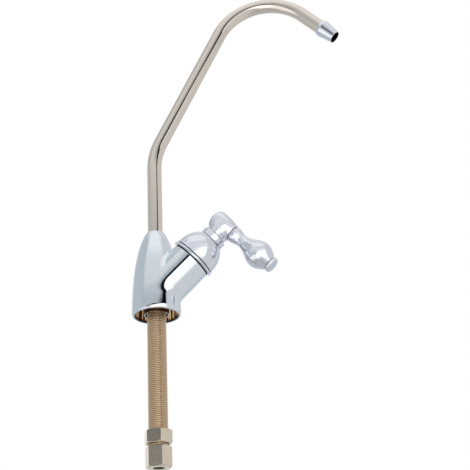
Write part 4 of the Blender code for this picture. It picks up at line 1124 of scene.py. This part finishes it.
hub_field = blend_fields(head_field, neck_field, HUB_FILLET * MM)
head_heights = np.concatenate([
    HUB_BACK_START - HUB_BACK_ROUND * np.cos(np.linspace(0, math.pi / 2, 24, endpoint=False)),
    np.linspace(HUB_BACK_START, HUB_FACE + SPARE, 24)
])
head_profile = [(float(head_radius(height)), float(height)) for height in head_heights]
head_profile[0] = (0, HUB_BACK_START - HUB_BACK_ROUND)
head_profile.append((0, HUB_FACE + SPARE))
hub = form("handle_knuckle", head_profile, lever_frame, trim_chrome)
shoulder = NECK_RADIUS + NECK_FLARE
neck = form("neck", [
    (0, HUB_BOTTOM - SPARE), (NECK_RADIUS, HUB_BOTTOM - SPARE), (NECK_RADIUS, HUB_BOTTOM),
    (shoulder, HUB_BOTTOM + NECK_RISE), (shoulder, LEVER_AXIS_HEIGHT / MM),
    (0, LEVER_AXIS_HEIGHT / MM)
], valve_frame, trim_chrome)
join(hub, neck, "UNION")
pull_onto(hub, hub_field, HUB_CELL * MM, kept_hub)
print("blended hub:", len(hub.data.polygons), "faces")

# %% [markdown]
# Like the body, the hub is then machined: flat where the lever meets it and at the neck's foot, with
# one hole for the stem and one for the stud that carries the lever.

# %% Handle hub: faces and holes
STEM_HOLE = 3.3
STEM_TOP = 31.7
STUD_HOLE = 2.3
hub_cuts = [
    cutter("hub_face", [(0, HUB_FACE), (8, HUB_FACE), (8, 10), (0, 10)], lever_frame, trim_chrome),
    cutter("neck_face", [
        (0, HUB_BOTTOM - 3), (9, HUB_BOTTOM - 3), (9, HUB_BOTTOM), (0, HUB_BOTTOM)
    ], valve_frame, trim_chrome),
    cutter(
        "neck_round", outside_rounding(NECK_RADIUS, HUB_BOTTOM, TURNED_EDGE, 1), valve_frame,
        trim_chrome, True
    ),
    cutter("stem_hole", [
        (0, HUB_BOTTOM - 1), (STEM_HOLE, HUB_BOTTOM - 1), (STEM_HOLE, STEM_TOP + 0.3),
        (0, STEM_TOP + 0.3)
    ], valve_frame),
    cutter("stud_hole", [
        (0, 0), (STUD_HOLE, 0), (STUD_HOLE, HUB_FACE + 1), (0, HUB_FACE + 1)
    ], lever_frame),
]
for cut in hub_cuts:
    join(hub, cut, "DIFFERENCE")
shade_by_field(hub, hub_field)
dress(hub, None, "chrome", "handle", "handle_hub")
print("handle hub:", len(hub.data.polygons), "faces")

# %% [markdown]
# The lever is turned like a small skittle: a flared root, a slim waist, a full bulb and a flat
# button at its end. Between the hub and the root sits a ring with a row of beads round its edge.
# The grip's outline is three cosine spans, which meet without a kink.

# %% Lever ring, grip and end knob
LEVER_START = 8.7
LEVER_SPANS = [
    (0.0, 5.1),
    (5.9, 3.9),
    (20.0, 8.5),
    (28.9, 4.4),
]


def lever_profile(steps=18):
    """Outline of the grip; the last span only leaves the bulb, so it is half a cosine."""
    points = []
    for number, (start, end) in enumerate(zip(LEVER_SPANS, LEVER_SPANS[1:])):
        last = number == len(LEVER_SPANS) - 2
        for step in range(steps):
            share = step / steps
            ease = 1 - math.cos(math.pi / 2 * share) if last else (1 - math.cos(math.pi * share)) / 2
            place = start[0] + (end[0] - start[0]) * share
            points.append((start[1] + (end[1] - start[1]) * ease, LEVER_START + place))
    return points


BEADS = 18
BEAD_RADIUS = 0.6
BEAD_CIRCLE = 4.5
BEAD_RING_START = 7.3
BEAD_RING_END = 8.4


def bead_ring():
    """A plain core with a row of round beads sunk into its edge."""
    core = turn("lever_bead_ring", [
        (STUD_HOLE, BEAD_RING_START), (BEAD_CIRCLE, BEAD_RING_START),
        (BEAD_CIRCLE, BEAD_RING_END), (STUD_HOLE, BEAD_RING_END)
    ], lever_frame, loop=True)
    settle(core)
    shape = bmesh.new()
    shape.from_mesh(core.data)
    middle = (BEAD_RING_START + BEAD_RING_END) / 2
    for bead in range(BEADS):
        around = Matrix.Rotation(FULL_TURN * bead / BEADS, 4, "Z")
        place = around @ Matrix.Translation((BEAD_CIRCLE * MM, 0, middle * MM))
        bmesh.ops.create_uvsphere(
            shape, u_segments=24, v_segments=12, radius=BEAD_RADIUS * MM, matrix=lever_frame @ place
        )
    shape.to_mesh(core.data)
    shape.free()
    core.data.shade_smooth()
    core.data.set_sharp_from_angle(angle=SHARP_ANGLE)
    return core


lever_ring = bead_ring()
dress(lever_ring, trim_chrome, "chrome", "handle", "lever_ring")

LEVER_END = LEVER_START + LEVER_SPANS[-1][0]
STUD_END = 16.0
SPIGOT_LENGTH = 4.3
root = [(0, STUD_END), (STUD_HOLE, STUD_END), (STUD_HOLE, LEVER_START)]
end = [
    (LEVER_SPANS[-1][1], LEVER_END), (STUD_HOLE, LEVER_END),
    (STUD_HOLE, LEVER_END - SPIGOT_LENGTH), (0, LEVER_END - SPIGOT_LENGTH)
]
grip = turn("lever_turned_grip", root + lever_profile() + end, lever_frame)
dress(grip, trim_chrome, "chrome", "handle", "lever_grip")

KNOB_START = LEVER_END + 0.3
KNOB_END = KNOB_START + 2.1
KNOB_RADIUS = 4.8
knob = turn("lever_end_button", rounded([
    (0, KNOB_START - SPIGOT_LENGTH),
    (2.0, KNOB_START - SPIGOT_LENGTH),
    (2.0, KNOB_START),
    (KNOB_RADIUS, KNOB_START, 0.45),
    (KNOB_RADIUS, KNOB_END, 0.9),
    (0, KNOB_END),
]), lever_frame)
dress(knob, trim_chrome, "chrome", "handle", "lever_end_knob")
print("lever ends", round(KNOB_END, 1), "mm from the valve's axis")

# %% [markdown]
# The photograph shows the part from below, against plain white. The camera stands in front, a
# little to the right and well under the part, and looks up. Its numbers were worked out from the
# circle of the base, the upright riser and the width of the shank.

# %% Camera
IMAGE_SIZE = 470
FOCAL_PIXELS = 1014
SENSOR = 36
CAMERA_PLACE = Vector((118.09, -542.56, -215.03)) * MM
CAMERA_AZIMUTH = math.radians(7.3)
CAMERA_PITCH = math.radians(25.57)
CAMERA_ROLL = math.radians(-3.03)

camera_data = bpy.data.cameras.new("camera")
camera_data.sensor_width = SENSOR
camera_data.sensor_fit = "HORIZONTAL"
camera_data.lens = FOCAL_PIXELS / IMAGE_SIZE * SENSOR
camera = bpy.data.objects.new("camera", camera_data)
bpy.context.scene.collection.objects.link(camera)
camera.location = CAMERA_PLACE
camera.rotation_mode = "QUATERNION"
camera.rotation_quaternion = (
    Matrix.Rotation(CAMERA_AZIMUTH, 3, "Z")
    @ Matrix.Rotation(math.pi / 2 + CAMERA_PITCH, 3, "X")
    @ Matrix.Rotation(CAMERA_ROLL, 3, "Z")
).to_quaternion()
bpy.context.scene.camera = camera
print("lens", round(camera_data.lens, 1), "mm")

# %% [markdown]
# Bright metal shows its surroundings more than itself, so the studio is built as a panorama round
# the part. Azimuth counts from the front to the right, elevation from the horizon up, both in
# degrees. A panel is a mask over a stretch of both angles, with a softness for each side. Some lean:
# their edges climb by a quarter of a degree for each degree of azimuth.

# %% Studio: angles and masks
PANEL_TILT = 0.25


def look_angles(tree, vector):
    """Azimuth and elevation of a direction, in degrees, and the elevation over a leaning edge."""
    unit = add_node(tree, "ShaderNodeVectorMath", {"operation": "NORMALIZE"}, {0: vector})
    parts = add_node(tree, "ShaderNodeSeparateXYZ", None, {"Vector": (unit, "Vector")})
    front = add_node(tree, "ShaderNodeMath", {"operation": "MULTIPLY"}, {0: (parts, "Y"), 1: -1})
    around = add_node(
        tree, "ShaderNodeMath", {"operation": "ARCTAN2"}, {0: (parts, "X"), 1: (front, 0)}
    )
    azimuth = add_node(tree, "ShaderNodeMath", {"operation": "DEGREES"}, {0: (around, 0)})
    rise = add_node(tree, "ShaderNodeMath", {"operation": "ARCSINE"}, {0: (parts, "Z")})
    elevation = add_node(tree, "ShaderNodeMath", {"operation": "DEGREES"}, {0: (rise, 0)})
    climb = add_node(
        tree, "ShaderNodeMath", {"operation": "MULTIPLY"}, {0: (azimuth, 0), 1: PANEL_TILT}
    )
    over_edge = add_node(
        tree, "ShaderNodeMath", {"operation": "SUBTRACT"}, {0: (elevation, 0), 1: (climb, 0)}
    )
    return azimuth, elevation, over_edge


def cover(tree, sides, azimuth, elevation):
    """Mask of a panel: 1 inside, 0 outside. A side is (angle, softness)."""
    masks = []
    for angle, (low, high) in ((azimuth, sides[:2]), (elevation, sides[2:])):
        low_start, low_end = low[0] - low[1] / 2, low[0] + low[1] / 2
        high_start, high_end = high[0] + high[1] / 2, high[0] - high[1] / 2
        masks.append(mask_between(tree, (angle, 0), low_start, low_end))
        masks.append(mask_between(tree, (angle, 0), high_start, high_end))
    return product(tree, masks)


def hang_panel(tree, behind, colour, mask):
    """Cover part of the panorama with a colour; returns the new colour's node."""
    output = MIX_RESULT if behind.bl_idname == "ShaderNodeMix" else 0
    return add_node(tree, "ShaderNodeMix", {"data_type": "RGBA"}, {
        MIX_SHARE: (mask, 0), MIX_LOW: (behind, output), MIX_HIGH: colour
    })


def toward(azimuth, elevation):
    """The direction with an azimuth and an elevation in degrees."""
    turned, risen = math.radians(azimuth), math.radians(elevation)
    return Vector((
        math.sin(turned) * math.cos(risen), -math.cos(turned) * math.cos(risen), math.sin(risen)
    ))


print("a leaning panel climbs", PANEL_TILT, "degrees for each degree to the right")

# %% [markdown]
# The studio is a pale tent, greyer and cooler below, brighter overhead.
# In it hang cool grey walls to the left and behind, pale ones to the right, a wide soft box in front
# that leans, a second one below it on the left, and the darker place where the camera stands.

# %% Studio: what hangs in it
COOL = (0.95, 1.0, 1.05)
PLAIN = (1, 1, 1)
SOFT_BOX_RISE = ((-36, 20), (4, 2))


def grey(value, tint=PLAIN):
    """Linear brightness with a slight tint; a soft box may be brighter than 1."""
    return [value * share for share in tint] + [1]


# Elevation, brightness and tint of the tent.
TENT = [
    (-90, 0.5, COOL),
    (-40, 0.55, COOL),
    (-15, 0.7, COOL),
    (14, 0.62, COOL),
    (23, 0.61, COOL),
    (31, 0.83, PLAIN),
    (80, 0.9, PLAIN),
]
# Name, colour, and the left, right, lower and upper side of each panel.
PANELS = [
    ("overhead", grey(1.04), (-78, 44), (92, 50), (48, 16), (150, 10)),
    ("cool_left", grey(0.63, COOL), (-230, 30), (-50, 18), (-70, 20), (60, 20)),
    ("cool_back", grey(0.64, COOL), (142, 30), (300, 10), (-70, 20), (60, 20)),
    ("warm_right", grey(0.76), (62, 10), (140, 30), (-45, 20), (60, 20)),
    ("low_right", grey(0.76), (22, 20), (140, 30), (-75, 14), (-20, 20)),
    ("soft_box", grey(1.0), (-14, 10), (58, 16), *SOFT_BOX_RISE),
    ("lower_soft_box", grey(1.2), (-78, 16), (4, 10), (-60, 16), (-16, 8)),
    ("camera_place", grey(0.6, COOL), (-36, 6), (-4, 6), (-18, 5), (10, 6)),
]
print("panels in the studio:", len(PANELS))

# %% [markdown]
# One world shader holds all of it: the tent is a colour ramp over the elevation, and each panel is
# mixed over what hangs behind it. The camera itself sees plain white, and so do reflections of a
# round backdrop behind the part, because the photograph was taken against white.

# %% Studio: the world
BACKDROP = (-168, 22)
BACKDROP_REACH = (26, 40)

bpy.context.scene.view_settings.view_transform = "Standard"
world = bpy.data.worlds.new("pale_studio")
bpy.context.scene.world = world
world.use_nodes = True
tree = world.node_tree
tree.nodes.clear()
place = add_node(tree, "ShaderNodeTexCoord")
azimuth, elevation, over_edge = look_angles(tree, (place, "Generated"))
share = add_node(tree, "ShaderNodeMapRange", None, {
    "Value": (elevation, 0), "From Min": -90, "From Max": 90
})
tent = add_node(tree, "ShaderNodeValToRGB", None, {"Fac": (share, "Result")})
ramp = tent.color_ramp
ramp.interpolation = "EASE"
while len(ramp.elements) < len(TENT):
    ramp.elements.new(0.5)
for stop, (angle, value, tint) in zip(ramp.elements, TENT):
    stop.position = (angle + 90) / 180
    stop.color = grey(value, tint)
shown = tent
for name, colour, *sides in PANELS:
    mask = cover(tree, sides, azimuth, over_edge if name == "soft_box" else elevation)
    shown = hang_panel(tree, shown, colour, mask)
    shown.label = name
seen = add_node(tree, "ShaderNodeLightPath")
clear = add_node(tree, "ShaderNodeMath", {"operation": "MAXIMUM"}, {
    0: (seen, "Is Glossy Ray"), 1: (seen, "Is Transmission Ray")
})
nearness = add_node(tree, "ShaderNodeVectorMath", {"operation": "DOT_PRODUCT"}, {
    0: (place, "Generated"), 1: toward(*BACKDROP)
})
turned = add_node(tree, "ShaderNodeMath", {"operation": "ARCCOSINE"}, {0: (nearness, "Value")})
apart = add_node(tree, "ShaderNodeMath", {"operation": "DEGREES"}, {0: (turned, 0)})
backdrop = mask_between(tree, (apart, 0), BACKDROP_REACH[1], BACKDROP_REACH[0])
mirrored = product(tree, [clear, backdrop])
whitened = add_node(tree, "ShaderNodeMath", {"operation": "MAXIMUM"}, {
    0: (seen, "Is Camera Ray"), 1: (mirrored, 0)
})
studio = add_node(tree, "ShaderNodeBackground", None, {"Color": (shown, MIX_RESULT), "Strength": 1})
white = add_node(tree, "ShaderNodeBackground", None, {"Color": linear("#FFFFFF"), "Strength": 1})
choice = add_node(tree, "ShaderNodeMixShader", None, {
    0: (whitened, 0), 1: (studio, "Background"), 2: (white, "Background")
})
add_node(tree, "ShaderNodeOutputWorld", None, {"Surface": (choice, "Shader")})
print("world:", len(tree.nodes), "nodes")

# %% [markdown]
# Chrome needs a dark line beside its brightest patch, or it looks like plastic, so dark flags stand
# at the edges of the soft box. In the photograph not every piece sees them: light linking lets the
# linked pieces see a flag as a pale card, and all others see it black. A glow is the other way to
# use such a card: a very bright one of a small share adds light for the linked pieces and hardly
# darkens what the others see. Each card is a patch of a sphere, no larger than it shows, because a
# ray passes at most eight clear surfaces.

# %% Flags and glows: how one is hung
PALE = 0.84
PATCH_ROWS = 24
PATCH_STEPS = 28


def hang_flag(name, distance, leans, sides, linked, strength=PALE, share=1):
    """A card from its sides in degrees; the linked pieces see it lit, all others black.

    A share below 1 lets the studio show through the card.
    """
    (left, left_fade), (right, right_fade), (bottom, bottom_fade), (top, top_fade) = sides
    left, right = left - left_fade, right + right_fade
    climbs = (PANEL_TILT * left, PANEL_TILT * right) if leans else (0, 0)
    lowest, highest = bottom - bottom_fade + min(climbs), top + top_fade + max(climbs)
    heights = np.linspace(lowest, highest, PATCH_ROWS)
    shape = bmesh.new()
    row = [shape.verts.new(distance * toward(left, height)) for height in heights]
    edges = [shape.edges.new(pair) for pair in zip(row, row[1:])]
    bmesh.ops.spin(
        shape, geom=row + edges, cent=(0, 0, 0), axis=(0, 0, 1), steps=PATCH_STEPS,
        angle=math.radians(right - left), use_merge=False
    )
    flag = add_piece(name, shape)
    paint = bpy.data.materials.new(name)
    paint.use_nodes = True
    tree = paint.node_tree
    tree.nodes.clear()
    place = add_node(tree, "ShaderNodeTexCoord")
    azimuth, elevation, over_edge = look_angles(tree, (place, "Object"))
    mask = cover(tree, sides, azimuth, over_edge if leans else elevation)
    shown = add_node(tree, "ShaderNodeMath", {"operation": "MULTIPLY"}, {0: (mask, 0), 1: share})
    fill = add_node(tree, "ShaderNodeEmission", None, {"Color": grey(1), "Strength": strength})
    clear = add_node(tree, "ShaderNodeBsdfTransparent")
    choice = add_node(tree, "ShaderNodeMixShader", None, {
        0: (shown, 0), 1: (clear, "BSDF"), 2: (fill, "Emission")
    })
    add_node(tree, "ShaderNodeOutputMaterial", None, {"Surface": (choice, "Shader")})
    flag.data.materials.append(paint)
    flag.visible_camera = False
    flag.visible_shadow = False
    flag.light_linking.receiver_collection = bpy.data.collections.new("sees_pale_" + name)
    for piece in linked:
        flag.light_linking.receiver_collection.objects.link(piece)


print("a flag's pale side:", PALE)

# %% [markdown]
# Who sees what, from the reflections in the photograph. The top flag is black for the body, rings,
# tip and spout; the side flag also for the shank; the strip flag for the shank alone; the lean flag
# for the spout alone; the nut flag for the nuts alone, and only partly dark. Three glows brighten the
# soft box from left to right, each for the pieces that show it white, and a fourth one brightens
# the front of the handle.

# %% Flags and glows: where they hang
NUT_SHADE = 0.62
GLOW = 6
GLOW_SHARE = 0.1
HANDLE_GLOW = 4.4
HANDLE_GLOW_SHARE = 0.05

handle = (dome, hub, grip, knob, collar)
nuts = (mounting_nut, tube_nut)
plated = handle + nuts + (body, ring_piece, lever_ring, tip)
all_but_nuts = handle + (body, ring_piece, lever_ring, tip, shank, spout)
glow = (GLOW, GLOW_SHARE)

top_sides = ((-33, 5), (58, 5), (5.5, 1.5), (16, 8))
hang_flag("top_flag", 1.6, True, top_sides, handle + nuts + (shank,))
hang_flag("side_flag", 1.5, False, ((43, 3), (56, 4), (14, 4), (40, 6)), handle + nuts)
hang_flag("strip_flag", 1.4, False, ((44, 3), (55, 3), (-2, 3), (15, 3)), plated + (spout,), 1)
hang_flag("lean_flag", 1.7, True, ((8, 4), (38, 4), (1.5, 1), (8, 2)), plated + (shank,), 1)
nut_sides = ((-46, 4), (-8, 4), (2, 3), (24, 3))
hang_flag("nut_flag", 1.45, False, nut_sides, all_but_nuts, NUT_SHADE, NUT_SHADE)
left_sides, middle_sides, right_sides = (
    (*ends, *SOFT_BOX_RISE)
    for ends in (((-14, 10), (14, 6)), ((14, 6), (42, 3)), ((42, 3), (58, 16)))
)
hang_flag("left_glow", 1.3, True, left_sides, plated + (shank, spout), *glow)
hang_flag("middle_glow", 1.28, True, middle_sides, plated + (shank,), *glow)
hang_flag("right_glow", 1.26, True, right_sides, plated, *glow)
handle_sides = ((-60, 8), (66, 8), (12, 6), (32, 6))
hang_flag("handle_glow", 1.24, False, handle_sides, handle, HANDLE_GLOW, HANDLE_GLOW_SHARE)
print("the soft box glows at", round(1 + GLOW * GLOW_SHARE - GLOW_SHARE, 2))

# %% [markdown]
# The hollow base faces down and would stay black. A small lamp, low in front, shines into it; it
# lights dull surfaces only and leaves the chrome's reflections alone.

# %% Lamp for the hollow
LAMP_SIZE = 0.15
LAMP_POWER = 4.0
LAMP_DISTANCE = 0.45
LAMP_PLACE = (12, -45)

lamp_data = bpy.data.lights.new("lamp_into_hollow", "AREA")
lamp_data.shape = "DISK"
lamp_data.size = LAMP_SIZE
lamp_data.energy = LAMP_POWER
lamp = bpy.data.objects.new("lamp_into_hollow", lamp_data)
bpy.context.scene.collection.objects.link(lamp)
lamp_way = toward(*LAMP_PLACE)
lamp.location = lamp_way * LAMP_DISTANCE
lamp.rotation_mode = "QUATERNION"
lamp.rotation_quaternion = lamp_way.to_track_quat("Z", "Y")
lamp.visible_glossy = False
lamp.light_linking.receiver_collection = bpy.data.collections.new("lit_by_low_lamp")
lamp.light_linking.receiver_collection.objects.link(body)
print("lamp:", lamp_data.energy, "watts, seen by", body.name)

# %% [markdown]
# The floor is a round pale table far below the part. Its rim fades out, so that it has no edge.

# %% Floor
FLOOR_HEIGHT = -0.32
FLOOR_RADIUS = 0.42
FLOOR_FADE = 0.2

floor_shape = bmesh.new()
bmesh.ops.create_circle(floor_shape, cap_ends=True, segments=96, radius=FLOOR_RADIUS)
bmesh.ops.translate(floor_shape, vec=(0, 0, FLOOR_HEIGHT), verts=floor_shape.verts)
floor = add_piece("floor", floor_shape)
floor_paint, tree, shader = new_finish("pale_floor", "#E0E0DE", 0, 0.6)
fade = mask_between(tree, reach_from_axis(tree), FLOOR_RADIUS, FLOOR_FADE)
tree.links.new(fade.outputs["Result"], shader.inputs["Alpha"])
floor.data.materials.append(floor_paint)
print("floor:", FLOOR_HEIGHT, "m, fades from", FLOOR_FADE, "to", FLOOR_RADIUS, "m")
